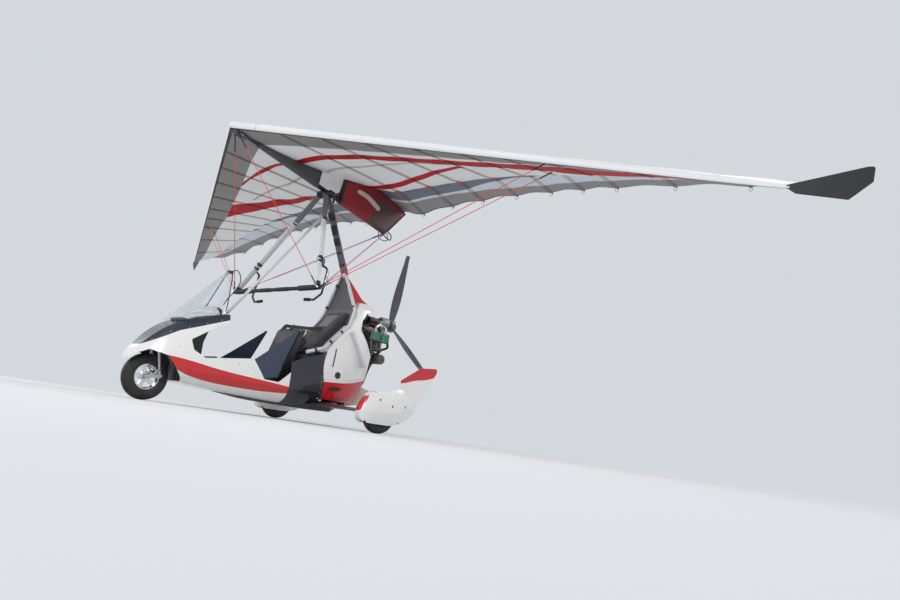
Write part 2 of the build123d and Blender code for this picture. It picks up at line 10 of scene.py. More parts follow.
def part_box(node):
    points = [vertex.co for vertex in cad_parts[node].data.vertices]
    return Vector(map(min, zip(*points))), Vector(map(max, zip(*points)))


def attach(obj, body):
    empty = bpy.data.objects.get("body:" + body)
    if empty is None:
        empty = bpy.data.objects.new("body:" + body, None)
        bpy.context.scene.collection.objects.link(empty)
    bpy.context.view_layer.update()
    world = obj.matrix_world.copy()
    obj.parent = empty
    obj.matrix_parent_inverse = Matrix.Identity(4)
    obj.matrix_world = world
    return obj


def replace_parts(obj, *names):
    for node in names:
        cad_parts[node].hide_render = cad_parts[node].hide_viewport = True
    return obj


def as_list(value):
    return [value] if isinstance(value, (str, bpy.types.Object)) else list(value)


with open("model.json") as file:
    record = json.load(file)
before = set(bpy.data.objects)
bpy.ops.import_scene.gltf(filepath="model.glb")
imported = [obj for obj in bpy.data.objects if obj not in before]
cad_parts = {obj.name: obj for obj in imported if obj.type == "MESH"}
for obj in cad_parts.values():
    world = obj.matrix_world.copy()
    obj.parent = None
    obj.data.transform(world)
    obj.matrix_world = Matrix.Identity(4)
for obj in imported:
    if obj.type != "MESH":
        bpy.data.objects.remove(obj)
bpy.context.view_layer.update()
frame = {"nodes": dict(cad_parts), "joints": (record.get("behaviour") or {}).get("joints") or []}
NODES = frame["nodes"]

# Metres, in the CAD frame: +X is the aircraft's left side, the nose points to -Y, the floor is z = 0.

PIVOT = {joint["name"]: Vector(joint["pos_m"]) for joint in frame["joints"]}
AXLE_Y = PIVOT["port_wheel_spin"].y
HANG = PIVOT["wing_roll"]
WING_PITCH = radians(10.9)
NOSE_Y = -1.342
SWEEP = tan(radians(25.9))
TIP_X = 4.54
TIP_DROP = 0.080
CHART_SPAN = 4.6
BATTENS = (0.50, 0.90, 1.31, 1.74, 2.15, 2.50, 2.85, 3.40, 4.04)
SIDES = (("port", 1), ("starboard", -1))


def trike(x, y, z):
    """Point given from the main axle line, in the CAD frame."""
    return Vector((x, y + AXLE_Y, z))


def wing(x, y, z):
    """Point given in the wing's own frame, keel along y, in the CAD frame."""
    c, s = cos(WING_PITCH), sin(WING_PITCH)
    return Vector((x, HANG.y + y * c + z * s, HANG.z - y * s + z * c))


def spread(count, low, high):
    """Evenly spaced numbers."""
    return [low + (high - low) * i / (count - 1) for i in range(count)]


def turns(count):
    """Angles evenly spaced round a circle."""
    return [2 * pi * k / count for k in range(count)]


# Shader building


class Value:
    """A shader socket that takes part in arithmetic; each step adds a Math node."""

    def __init__(self, socket):
        self.socket, self.tree = socket, socket.id_data

    def __add__(self, other):
        return calc("ADD", self, other)

    def __sub__(self, other):
        return calc("SUBTRACT", self, other)

    def __mul__(self, other):
        return calc("MULTIPLY", self, other)

    def __truediv__(self, other):
        return calc("DIVIDE", self, other)

    def __or__(self, other):
        return calc("MAXIMUM", self, other)

    def __lt__(self, other):
        return calc("LESS_THAN", self, other)

    def __gt__(self, other):
        return calc("GREATER_THAN", self, other)

    def __abs__(self):
        return calc("ABSOLUTE", self)


def put(value, socket):
    """Links a value to a socket, or sets a number or colour on it."""
    if isinstance(value, Value):
        value.tree.links.new(value.socket, socket)
    else:
        socket.default_value = (*value, 1) if socket.type == "RGBA" and len(value) == 3 else value


def fill(sockets, **values):
    """Puts values on sockets by name, with _ for a space."""
    for key, value in values.items():
        put(value, sockets[key.replace("_", " ")])


def new_node(tree, kind, **inputs):
    node = tree.nodes.new(kind)
    fill(node.inputs, **inputs)
    return node


def out(node, k=0):
    return Value(node.outputs[k])


def tree_of(*values):
    return next(value.tree for value in values if isinstance(value, Value))


def calc(operation, *values, clamp=False):
    """One math step on values and numbers."""
    node = tree_of(*values).nodes.new("ShaderNodeMath")
    node.operation, node.use_clamp = operation, clamp
    for value, socket in zip(values, node.inputs):
        put(value, socket)
    return out(node)


def ramp(value, slope, lift):
    """Straight run of a value, held between 0 and 1."""
    return calc("MULTIPLY_ADD", value, slope, lift, clamp=True)


def mix(mask, a, b, blend="MIX"):
    """Colour a, turned into colour b where the mask is 1."""
    node = tree_of(mask, a, b).nodes.new("ShaderNodeMix")
    node.data_type, node.blend_type = "RGBA", blend
    for value, k in ((mask, 0), (a, 6), (b, 7)):
        put(value, node.inputs[k])
    return out(node, 2)


def split(vector):
    """The three values of a vector."""
    return [Value(socket) for socket in new_node(vector.tree, "ShaderNodeSeparateXYZ", Vector=vector).outputs]


def noise(vector, **inputs):
    return out(new_node(vector.tree, "ShaderNodeTexNoise", Vector=vector, **inputs))


def spun(vector, angle):
    """A vector turned about Z."""
    node = new_node(vector.tree, "ShaderNodeVectorRotate", Vector=vector, Angle=angle)
    node.rotation_type = "Z_AXIS"
    return out(node)


def step_mask(value, edge, softness):
    """0 below the edge, 1 above it, softened; the edge may be a value."""
    return ramp(value - edge, 1 / softness, 0.5)


def band_mask(value, low, high, softness=0.0015):
    """1 between two edges."""
    return calc("SUBTRACT", step_mask(value, low, softness), step_mask(value, high, softness), clamp=True)


def curve_of(x, points, low, high):
    """Smooth function of x through points (x in 0..1, y between low and high)."""
    node = new_node(x.tree, "ShaderNodeFloatCurve", Value=x)
    line = node.mapping.curves[0]
    ends = sorted((px, (py - low) / (high - low)) for px, py in points)
    line.points[0].location, line.points[1].location = ends[0], ends[-1]
    for point in ends[1:-1]:
        line.points.new(*point)
    node.mapping.extend = "HORIZONTAL"
    node.mapping.update()
    return calc("MULTIPLY_ADD", out(node), high - low, low)


def make_group(name, outputs, **inputs):
    """Empty shader group; gives its tree, its inputs as values and its output sockets.

    An input's kind follows its first value: None is a vector, three numbers are a colour."""
    tree = bpy.data.node_groups.new(name, "ShaderNodeTree")
    for label, value in inputs.items():
        kind = "Vector" if value is None else "Color" if isinstance(value, tuple) else "Float"
        made = tree.interface.new_socket(name=label, in_out="INPUT", socket_type="NodeSocket" + kind)
        if value is not None:
            made.default_value = (*value, 1) if kind == "Color" else value
    for label in outputs:
        kind = "NodeSocketColor" if label == "Color" else "NodeSocketFloat"
        tree.interface.new_socket(name=label, in_out="OUTPUT", socket_type=kind)
    start = tree.nodes.new("NodeGroupInput").outputs
    return tree, [Value(start[label]) for label in inputs], tree.nodes.new("NodeGroupOutput").inputs


def build_tone_group():
    """Colour and roughness that vary over a surface, with a fine height."""
    tree, (at, color, shade, scale, amount, rough, swing, grain), end = make_group(
        "surface_tone", ("Color", "Roughness", "Height"), Vector=None, Color=(0.8, 0.8, 0.8), Shade=(0.5, 0.5, 0.5),
        Scale=3.0, Amount=0.3, Roughness=0.4, Spread=0.1, Grain=120.0)
    broad = noise(at, Scale=scale, Detail=5.0, Roughness=0.62)
    fine = noise(at, Scale=grain, Detail=3.0, Roughness=0.6)
    wave = (broad - 0.5 + calc("MULTIPLY_ADD", fine, 0.3, -0.15)) * swing
    fill(end, Color=mix(ramp(broad, 3.0, -1.2) * amount, color, shade), Roughness=calc("ADD", wave, rough, clamp=True),
         Height=fine)
    return tree


def build_dust_group():
    """Dust and splashes that gather low on the machine and in patches."""
    tree, (at, color, dust, level, reach, amount), end = make_group(
        "road_dust", ("Color", "Mask"), Vector=None, Color=(0.8, 0.8, 0.8), Dust=(0.30, 0.27, 0.22), Level=0.3,
        Reach=0.5, Amount=0.3)
    depth = calc("DIVIDE", level + reach - split(at)[2], reach, clamp=True)
    fleck = ramp(noise(at, Scale=38.0, Detail=6.0, Roughness=0.7), 3.4, -1.45)
    area = ramp(noise(at, Scale=4.0, Detail=4.0, Roughness=0.6), 2.4, -0.7)
    mask = depth * amount * calc("MULTIPLY_ADD", fleck, 0.6, area * 0.5)
    fill(end, Color=mix(mask, color, dust), Mask=mask)
    return tree


def build_weave_group():
    """Plain cloth weave on a metric map: height and a thread mask."""
    tree, (at, threads, turn), end = make_group("cloth_weave", ("Height", "Mask"), Vector=None, Threads=600.0, Turn=0.0)
    x, y, z = split(spun(at, turn))
    count = threads * pi
    woven = calc("SINE", x * count) * calc("SINE", y * count)
    fill(end, Height=abs(woven), Mask=woven > 0.0)
    return tree


def build_grid_group():
    """Lines crossing at two angles, as the reinforcing threads of laminate cloth."""
    tree, (at, spacing, width, angle), end = make_group("laminate_threads", ("Mask",), Vector=None, Spacing=0.012,
                                                        Width=0.12, Angle=0.6)
    lines = [abs(calc("FRACT", split(spun(at, angle * sign))[0] / spacing) - 0.5) < width * 0.5 for sign in (1, -1)]
    fill(end, Mask=lines[0] | lines[1])
    return tree


def build_wrinkle_group():
    """Long soft wrinkles of tight cloth, drawn out along the pull."""
    tree, (at, stretch, scale), end = make_group("tight_cloth_wrinkles", ("Height",), Vector=None, Stretch=6.0, Scale=2.4)
    x, y, z = split(spun(at, 0.42))
    drawn = new_node(tree, "ShaderNodeCombineXYZ", X=x * stretch, Y=y)
    wave = noise(out(drawn), Scale=scale, Detail=3.0, Roughness=0.5)
    fill(end, Height=wave * ramp(noise(at, Scale=1.3, Detail=2.0), 1.8, -0.3))
    return tree


TONE = build_tone_group()
DUST = build_dust_group()
WEAVE = build_weave_group()
THREADS = build_grid_group()
WRINKLES = build_wrinkle_group()


def use(group, at, **inputs):
    """Puts a shared group in a material with its own values; gives its outputs by name."""
    node = at.tree.nodes.new("ShaderNodeGroup")
    node.node_tree = group
    fill(node.inputs, Vector=at, **inputs)
    return {socket.name: Value(socket) for socket in node.outputs}


def new_material(name, **fixed):
    """Material with a Principled shader, whose own sockets take the fixed numbers; gives its Object place too."""
    made = bpy.data.materials.new(name)
    made.use_nodes = True
    shader = made.node_tree.nodes["Principled BSDF"]
    fill(shader.inputs, **fixed)
    return made, shader, out(made.node_tree.nodes.new("ShaderNodeTexCoord"), "Object")


def bump_of(height, strength, distance, **under):
    """Normal that a height gives."""
    return out(new_node(height.tree, "ShaderNodeBump", Strength=strength, Distance=distance, Height=height, **under))


def toned(name, color, shade, rough, spread=0.12, scale=3.0, amount=0.35, grain=160.0, bump=0.08, dust=0.0,
          dust_reach=0.6, **fixed):
    """General finish: varied colour and roughness, fine bump and some dust."""
    made, shader, at = new_material(name, **fixed)
    tone = use(TONE, at, Color=color, Shade=shade, Scale=scale, Amount=amount, Roughness=rough, Spread=spread, Grain=grain)
    shown = tone["Color"]
    if dust:
        shown = use(DUST, at, Color=shown, Amount=dust, Level=0.1, Reach=dust_reach)["Color"]
    fill(shader.inputs, Base_Color=shown, Roughness=tone["Roughness"], Normal=bump_of(tone["Height"], bump, 0.0006))
    return made


RED = (0.56, 0.004, 0.007)
RED_SHADE = (0.47, 0.004, 0.007)
WHITE = (0.80, 0.80, 0.79)
WHITE_SHADE = (0.70, 0.70, 0.67)
SHELL_INSIDE = (0.035, 0.037, 0.042)


def inner_mask(at):
    """The shell's inside: faces that look towards the middle plane, or up from a floor."""
    x, y, z = split(at)
    faced = split(out(at.tree.nodes.new("ShaderNodeNewGeometry"), "True Normal"))
    inside = calc("SIGN", x) * faced[0] < -0.25
    return (inside | (faced[2] > 0.8) * (z < 0.28)) * (abs(x) < 0.6)


def gelcoat(name, paint):
    """Glossy white moulding with painted areas; paint(place) gives a mask of the red, or None."""
    made, shader, at = new_material(name, Coat_Weight=0.6, Coat_Roughness=0.05, Specular_IOR_Level=0.5)
    tone = use(TONE, at, Color=WHITE, Shade=WHITE_SHADE, Scale=2.2, Amount=0.16, Roughness=0.22, Spread=0.16, Grain=90.0)
    red = use(TONE, at, Color=RED, Shade=RED_SHADE, Scale=4.0, Amount=0.16, Roughness=0.2, Spread=0.1, Grain=90.0)
    color, mask = tone["Color"], paint(at)
    if mask is not None:
        color = mix(mask, color, red["Color"])
    film = use(DUST, at, Color=mix(inner_mask(at), color, SHELL_INSIDE), Amount=0.10, Level=0.05, Reach=0.5)
    fill(shader.inputs, Base_Color=film["Color"], Roughness=ramp(film["Mask"], 0.5, tone["Roughness"]),
         Normal=bump_of(noise(at, Scale=14.0, Detail=2.0), 0.10, 0.002))
    return made


# Red stripe along the pod's chine: y from the axle line, lower z, upper z
POD_STRIPE = [
    (-2.100, 0.398, 0.402), (-2.00, 0.352, 0.412), (-1.88, 0.302, 0.408), (-1.72, 0.258, 0.392),
    (-1.56, 0.240, 0.372), (-1.40, 0.234, 0.358), (-1.10, 0.234, 0.342), (-0.90, 0.244, 0.332), (-0.745, 0.256, 0.322),
]


def pod_paint(at):
    """Chine stripe, thin in front and full width from the middle on."""
    x, y, z = split(at)
    start, run = POD_STRIPE[0][0], POD_STRIPE[-1][0] - POD_STRIPE[0][0]
    along = calc("DIVIDE", y - (start + AXLE_Y), run, clamp=True)
    low, high = (curve_of(along, [((row[0] - start) / run, row[k]) for row in POD_STRIPE], 0.2, 0.5) for k in (1, 2))
    return band_mask(z, low, high) * step_mask(y, start + AXLE_Y, 0.004) * step_mask(abs(x), 0.10, 0.004)


def cowl_paint(at):
    """Red lower side of the cowl, rising a little to the rear."""
    x, y, z = split(at)
    along = calc("DIVIDE", y - (-0.33 + AXLE_Y), 0.6, clamp=True)
    edge = curve_of(along, [(0, 0.440), (0.3, 0.452), (0.6, 0.475), (1, 0.54)], 0.3, 0.7)
    return calc("SUBTRACT", 1.0, step_mask(z, edge, 0.003), clamp=True)


def spat_paint(at):
    """Red on the fin's top and on a strip down the front edge."""
    x, y, z = split(at)
    along = calc("DIVIDE", y - (0.14 + AXLE_Y), 0.56, clamp=True)
    edge = curve_of(along, [(0, 0.52), (0.25, 0.548), (0.5, 0.592), (0.8, 0.628), (1, 0.665)], 0.4, 0.8)
    fin = step_mask(z, edge, 0.003) * step_mask(y, 0.17 + AXLE_Y, 0.004)
    slant = calc("MULTIPLY_ADD", z, -0.55, y)
    return fin | calc("SUBTRACT", 1.0, step_mask(slant, -0.392 + AXLE_Y, 0.003), clamp=True)


def carbon_finish():
    """Black twill laminate under a satin clear coat."""
    made, shader, at = new_material("carbon_black", Coat_Weight=0.35, Coat_Roughness=0.16)
    weave = use(WEAVE, at, Threads=420.0, Turn=0.785)
    tone = use(TONE, at, Color=(0.016, 0.016, 0.018), Shade=(0.045, 0.044, 0.043), Scale=4.0, Amount=0.4,
               Roughness=0.33, Spread=0.15, Grain=150.0)
    woven = mix(weave["Mask"], tone["Color"], (0.026, 0.026, 0.029))
    film = use(DUST, at, Color=woven, Amount=0.35, Level=0.0, Reach=0.6)
    fill(shader.inputs, Base_Color=film["Color"], Roughness=tone["Roughness"],
         Normal=bump_of(weave["Height"], 0.05, 0.0003))
    return made


def screen_finish():
    """Clear acrylic with light scuffs."""
    made, shader, at = new_material("clear_screen", IOR=1.49, Transmission_Weight=1.0, Metallic=0.0,
                                    Base_Color=(0.93, 0.96, 0.97))
    fill(shader.inputs, Roughness=ramp(noise(at, Scale=9.0, Detail=8.0, Roughness=0.75), 0.05, -0.024))
    return made


def upright_finish():
    """Pale coated tube whose upper third is dark grey."""
    made, shader, at = new_material("upright_two_tone")
    x, y, z = split(at)
    c, s = cos(WING_PITCH), sin(WING_PITCH)
    depth = calc("MULTIPLY_ADD", y, s, calc("MULTIPLY_ADD", z, c, -HANG.z * c - HANG.y * s))
    pale = use(TONE, at, Color=(0.64, 0.65, 0.66), Shade=(0.55, 0.56, 0.57), Scale=5.0, Amount=0.4, Roughness=0.34,
               Spread=0.14, Grain=400.0)
    fill(shader.inputs, Base_Color=mix(step_mask(depth, -0.40, 0.002), pale["Color"], (0.165, 0.170, 0.182)),
         Roughness=pale["Roughness"], Normal=bump_of(pale["Height"], 0.15, 0.0005))
    return made


def plain_cloth(name, color, shade, rough=0.62, threads=700.0, depth=0.3, turn=0.0):
    """Woven cloth or webbing of one colour, on Object coordinates."""
    made, shader, at = new_material(name, Sheen_Weight=0.12)
    tone = use(TONE, at, Color=color, Shade=shade, Scale=7.0, Amount=0.5, Roughness=rough, Spread=0.14, Grain=200.0)
    laid = new_node(at.tree, "ShaderNodeMapping", Vector=at, Rotation=(0.5, 0.6, turn))
    weave = use(WEAVE, out(laid), Threads=threads)
    fill(shader.inputs, Base_Color=mix(weave["Mask"] * 0.25, tone["Color"], shade), Roughness=tone["Roughness"],
         Normal=bump_of(weave["Height"], depth, 0.0006))
    return made


# Each row: key, material name, colour, its shade, then what else the finish is given
PAINTS = (
    ("fin_red", "fin_red_paint", RED, RED_SHADE, 0.24, dict(Coat_Weight=0.5, Coat_Roughness=0.08)),
    ("navy", "navy_gloss_panel", (0.006, 0.008, 0.020), (0.012, 0.014, 0.028), 0.16,
     dict(spread=0.1, dust=0.1, Coat_Weight=0.5, Coat_Roughness=0.05)),
    ("guard_blue", "seat_guard_blue", (0.030, 0.045, 0.085), (0.05, 0.065, 0.10), 0.42,
     dict(spread=0.1, grain=400.0, bump=0.3, dust=0.1)),
    ("winglet_black", "winglet_black", (0.006, 0.0065, 0.008), (0.014, 0.0145, 0.017), 0.48, dict(grain=600.0, bump=0.25)),
    ("deck", "deck_dark_gloss", (0.012, 0.016, 0.030), (0.03, 0.034, 0.045), 0.22, dict(Coat_Weight=0.4, Coat_Roughness=0.08)),
    ("dark_plastic", "dark_moulded_plastic", (0.020, 0.020, 0.022), (0.05, 0.05, 0.052), 0.46,
     dict(grain=420.0, bump=0.35, dust=0.2)),
    ("mast_dark", "mast_dark_anodised", (0.045, 0.050, 0.060), (0.09, 0.095, 0.10), 0.34,
     dict(Metallic=0.85, scale=6.0, amount=0.3)),
    ("mast_grey", "mast_grey_anodised", (0.125, 0.130, 0.142), (0.08, 0.083, 0.09), 0.38, dict(Metallic=0.5, scale=6.0)),
    ("alloy", "satin_alloy", (0.56, 0.575, 0.60), (0.40, 0.41, 0.43), 0.34, dict(Metallic=0.9, scale=5.0, dust=0.12)),
    ("light_tube", "pale_powder_coat", (0.60, 0.61, 0.62), (0.50, 0.51, 0.52), 0.36, dict(grain=500.0, bump=0.2)),
    ("steel", "machined_steel", (0.55, 0.55, 0.56), (0.35, 0.33, 0.31), 0.27, dict(Metallic=1.0, scale=20.0)),
    ("chrome", "polished_rim", (0.80, 0.81, 0.83), (0.55, 0.56, 0.58), 0.12, dict(Metallic=1.0, scale=12.0, dust=0.18)),
    ("brass", "brass_nut", (0.72, 0.46, 0.14), (0.45, 0.27, 0.08), 0.25, dict(Metallic=1.0, scale=30.0)),
    ("cast", "cast_alloy", (0.27, 0.27, 0.275), (0.13, 0.125, 0.12), 0.5,
     dict(Metallic=0.8, scale=14.0, amount=0.6, grain=500.0, bump=0.5)),
    ("green_cover", "green_valve_cover", (0.004, 0.20, 0.075), (0.002, 0.10, 0.04), 0.3,
     dict(scale=8.0, Coat_Weight=0.4, Coat_Roughness=0.1)),
    ("hose", "rubber_hose", (0.015, 0.015, 0.016), (0.04, 0.04, 0.04), 0.55, dict(grain=300.0, bump=0.2)),
    ("foam", "bar_foam", (0.018, 0.018, 0.020), (0.045, 0.045, 0.048), 0.85, dict(grain=700.0, bump=0.7)),
    ("red_sheath", "red_wire_sheath", (0.70, 0.045, 0.028), (0.48, 0.03, 0.02), 0.38, dict(scale=30.0)),
    ("purple_line", "purple_line", (0.14, 0.06, 0.42), (0.09, 0.04, 0.28), 0.6, dict(scale=60.0)),
    ("cord_black", "black_cord", (0.012, 0.012, 0.013), (0.04, 0.04, 0.042), 0.7, dict(grain=900.0, bump=0.6)),
    ("pale_plastic", "pale_grey_plastic", (0.56, 0.57, 0.53), (0.44, 0.44, 0.41), 0.45, dict(dust=0.5, dust_reach=0.7)),
    ("blade", "blade_grey", (0.13, 0.135, 0.15), (0.09, 0.092, 0.10), 0.36, dict(scale=8.0, dust=0.1)),
    ("rubber", "tyre_rubber", (0.014, 0.014, 0.015), (0.055, 0.052, 0.048), 0.72,
     dict(spread=0.2, scale=9.0, amount=0.6, grain=260.0, bump=0.35)),
    ("label_pale", "blank_label", (0.62, 0.60, 0.56), (0.54, 0.52, 0.48), 0.5, dict(grain=300.0, bump=0.1)),
    ("exhaust", "exhaust_steel", (0.24, 0.21, 0.19), (0.11, 0.085, 0.07), 0.5, dict(Metallic=0.9, scale=11.0, amount=0.7)),
    ("dial_face", "dial_glass", (0.010, 0.010, 0.012), (0.02, 0.02, 0.024), 0.10, dict(Coat_Weight=0.5)),
)
CLOTHS = (
    ("red_cloth", "red_cloth", (0.50, 0.018, 0.020), (0.36, 0.014, 0.016), {}),
    ("pocket_red", "keel_pocket_red", (0.30, 0.012, 0.018), (0.20, 0.010, 0.014), dict(turn=0.3)),
    ("pocket_brown", "keel_pocket_brown", (0.10, 0.045, 0.040), (0.07, 0.035, 0.032), dict(turn=0.3)),
    ("sleeve_cloth", "keel_sleeve_cloth", (0.075, 0.080, 0.088), (0.05, 0.052, 0.058), {}),
    ("webbing", "black_webbing", (0.016, 0.016, 0.018), (0.035, 0.035, 0.037), dict(rough=0.7, threads=420.0, depth=0.6)),
    ("seat_black", "seat_black_cloth", (0.022, 0.022, 0.025), (0.045, 0.045, 0.05),
     dict(rough=0.66, threads=520.0, depth=0.5)),
    ("seat_grey", "seat_grey_cloth", (0.16, 0.165, 0.175), (0.11, 0.112, 0.12), dict(rough=0.66, threads=520.0, depth=0.5)),
    ("panel_cloth", "mast_panel_cloth", (0.050, 0.055, 0.066), (0.075, 0.08, 0.09), {}),
)
MAT = {"carbon": carbon_finish(), "screen": screen_finish(), "upright": upright_finish()}
for key, name, paint in (("pod_white", "pod_gelcoat", pod_paint), ("cowl_white", "cowl_gelcoat", cowl_paint),
                         ("spat_white", "spat_gelcoat", spat_paint), ("plain_white", "plain_gelcoat", lambda at: None)):
    MAT[key] = gelcoat(name, paint)
for key, *given, more in PAINTS:
    MAT[key] = toned(*given, **more)
for key, *given, more in CLOTHS:
    MAT[key] = plain_cloth(*given, **more)

# Sail cloth: the printed zones are read from the skin's own chart, whose first value is the distance from the keel
# over CHART_SPAN and whose second is the share of the chord

GREY_BAND = [(0, 0.155), (0.5, 0.165), (1, 0.178), (1.4, 0.19), (1.9, 0.2), (2.3, 0.212), (2.7, 0.2), (3.4, 0.192),
             (4.6, 0.195)]
# Each ribbon: where it ends, then its front and its rear edge
PORT_RIBBONS = [
    (4.15,
     [(0, 0.327), (0.34, 0.287), (0.78, 0.255), (1.3, 0.262), (1.96, 0.27), (2.4, 0.245), (2.84, 0.215), (3.26, 0.21),
      (3.64, 0.26), (3.94, 0.37), (4.15, 0.55)],
     [(0, 0.364), (0.34, 0.335), (0.7, 0.318), (1.18, 0.345), (1.68, 0.39), (2.22, 0.42), (2.56, 0.47), (2.9, 0.62),
      (3.16, 0.65), (3.54, 0.62), (4.15, 0.56)]),
    (1.76,
     [(0, 0.715), (0.06, 0.712), (0.5, 0.676), (0.78, 0.649), (1.06, 0.589), (1.38, 0.507), (1.62, 0.444), (1.76, 0.407)],
     [(0, 0.772), (0.1, 0.767), (0.48, 0.735), (0.86, 0.685), (1.24, 0.594), (1.48, 0.526), (1.76, 0.442)]),
]
STARBOARD_RIBBONS = [
    (1.26,
     [(0, 0.325), (0.1, 0.309), (0.24, 0.282), (0.44, 0.255), (0.68, 0.223), (0.9, 0.205), (1.08, 0.183), (1.26, 0.165)],
     [(0, 0.362), (0.14, 0.332), (0.3, 0.296), (0.48, 0.278), (0.72, 0.246), (0.96, 0.214), (1.14, 0.196), (1.26, 0.183)]),
    (2.36,
     [(0, 0.715), (0.2, 0.700), (0.52, 0.653), (0.8, 0.598), (1.08, 0.553), (1.26, 0.48), (1.48, 0.416), (1.74, 0.28),
      (1.86, 0.202), (2.0, 0.10)],
     [(0, 0.765), (0.3, 0.735), (0.62, 0.681), (0.94, 0.639), (1.24, 0.608), (1.46, 0.548), (1.7, 0.489), (1.92, 0.417),
      (2.22, 0.28), (2.36, 0.205)]),
]
TOP_RIBBON = ([(0, 0.30), (1.2, 0.24), (2.6, 0.21), (3.6, 0.24), (4.15, 0.50), (4.6, 0.60)],
              [(0, 0.345), (1.2, 0.33), (2.4, 0.42), (3.0, 0.60), (3.6, 0.60), (4.15, 0.55), (4.6, 0.58)])
# Painted shadow of the cross-tube as if seen through each lower skin: distance from the keel and share of the chord
PORT_CROSS_TUBE_SHADOW = [(0, 0.50), (0.08, 0.474), (0.52, 0.429), (0.9, 0.411), (1.22, 0.379), (1.5, 0.365)]
STARBOARD_CROSS_TUBE_SHADOW = [(0, 0.455), (0.04, 0.451), (0.54, 0.438), (0.98, 0.388), (1.5, 0.332)]
MESH_REAR = [(0, 0.868), (0.9, 0.867), (1.2, 0.86), (1.46, 0.827), (1.88, 0.767), (2.28, 0.726), (2.4, 0.69), (4.6, 0.50)]
SCRIM_FRONT = [(0, 0.89), (1.2, 0.888), (2.2, 0.885), (2.34, 0.873), (2.82, 0.847), (3.34, 0.813), (3.96, 0.722),
               (4.6, 0.62)]
# Distance from the keel where the painted cross-tube shadow stops
CROSS_TUBE_SHADOW_END = 1.52

CLOTH_WHITE = (0.80, 0.805, 0.81)
CLOTH_RED = (0.44, 0.004, 0.008)
LAMINATE = (0.275, 0.265, 0.258)
# Painted shade for the underside of the rounded nose of the sail
NOSE_UNDERSIDE_PAINTED_SHADE = (0.075, 0.08, 0.09)
REAR_HEM = (0.16, 0.17, 0.19)


def chart_curve(across, rows):
    """Share of the chord as a smooth function of the distance from the keel."""
    return curve_of(across, [(x / CHART_SPAN, share) for x, share in rows], 0.0, 1.0)


def most(values):
    """Largest of several values."""
    total = values[0]
    for value in values[1:]:
        total = total | value
    return total


def over_battens(cloth, color, tint, amount):
    """Darkens a cloth colour where the batten pockets are sewn on, and draws their stitch lines."""
    away = abs(split(cloth)[0])
    offsets = [abs(away - x) for x in BATTENS]
    color = mix(most([offset < 0.0262 for offset in offsets]) * amount, color, tint, "MULTIPLY")
    seams = most([abs(offset - 0.0205) < 0.0011 for offset in offsets])
    return mix(seams * 0.55, color, (0.26, 0.22, 0.17))


def under_paint(ribbons, cross):
    """Lower skin: white cloth with red ribbons, a grey laminate nose band, a painted shadow of the cross-tube and
    painted shade under the rounded nose.
    """
    def paint(across, share, cloth):
        color = CLOTH_WHITE
        for end, *edges in ribbons:
            edges = [chart_curve(across, rows) for rows in edges]
            inside = across < end / CHART_SPAN
            color = mix(band_mask(share, *edges, 0.0012) * inside, color, CLOTH_RED)
            for edge in edges:
                color = mix((abs(share - edge) < 0.0009) * inside * 0.45, color, (0.42, 0.30, 0.28))
        # Painted shadow of the cross-tube: a darker brown line across the inner span
        band = (abs(share - chart_curve(across, cross)) < 0.0105) * (across < CROSS_TUBE_SHADOW_END / CHART_SPAN)
        color = mix(band * 0.75, color, (0.40, 0.36, 0.30))
        grey = chart_curve(across, GREY_BAND)
        lines = use(THREADS, cloth, Spacing=0.021, Width=0.12, Angle=0.52)["Mask"]
        color = mix(share < grey, color, mix(lines * 0.5, LAMINATE, (0.165, 0.16, 0.158)))
        color = mix((abs(share - grey) < 0.0022) * 0.6, color, (0.20, 0.20, 0.20))
        color = over_battens(cloth, color, (0.52, 0.46, 0.37), 0.9)
        # Painted shade under the rounded nose
        return mix(share < 0.024, color, NOSE_UNDERSIDE_PAINTED_SHADE)
    return paint


def tail_paint(across, share, cloth):
    """Underside of the single skin behind the lower one: mesh strip, pale window strip, grey lined scrim."""
    mesh = mix(use(THREADS, cloth, Spacing=0.004, Width=0.35, Angle=0.785)["Mask"], (0.125, 0.14, 0.17), (0.21, 0.23, 0.27))
    lines = use(THREADS, cloth, Spacing=0.030, Width=0.10, Angle=0.62)["Mask"]
    color = mix(step_mask(share, chart_curve(across, MESH_REAR), 0.001), mesh, (0.63, 0.69, 0.74))
    color = mix(step_mask(share, chart_curve(across, SCRIM_FRONT), 0.001), color,
                mix(lines * 0.7, (0.31, 0.305, 0.30), (0.15, 0.15, 0.155)))
    return over_battens(cloth, mix(share > 0.988, color, REAR_HEM), (0.70, 0.64, 0.56), 0.8)


def top_paint(across, share, cloth):
    """Upper skin: white panels with seams, painted shade under the rounded nose and a grey rear hem."""
    lines = use(THREADS, cloth, Spacing=0.016, Width=0.10, Angle=0.70)["Mask"]
    color = mix(step_mask(share, 0.085, 0.001), mix(lines * 0.35, (0.74, 0.75, 0.76), (0.58, 0.60, 0.62)), CLOTH_WHITE)
    for seam in (0.085, 0.42, 0.70):
        color = mix((abs(share - seam) < 0.0016) * 0.4, color, (0.5, 0.5, 0.5))
    color = mix(band_mask(share, *(chart_curve(across, rows) for rows in TOP_RIBBON), 0.0012), color, CLOTH_RED)
    color = mix(step_mask(share, 0.055, 0.002), color, over_battens(cloth, color, (0.86, 0.85, 0.82), 0.8))
    color = mix(step_mask(share, chart_curve(across, SCRIM_FRONT), 0.001), color, (0.42, 0.44, 0.47))
    color = mix(share > 0.988, color, REAR_HEM)
    cap = (abs(across - 0.27 / CHART_SPAN) < 0.0022 / CHART_SPAN) * (share < 0.085)
    # Below the nose the colour is painted shade
    return mix(share < -0.023, mix(cap * 0.7, color, (0.16, 0.16, 0.17)), NOSE_UNDERSIDE_PAINTED_SHADE)


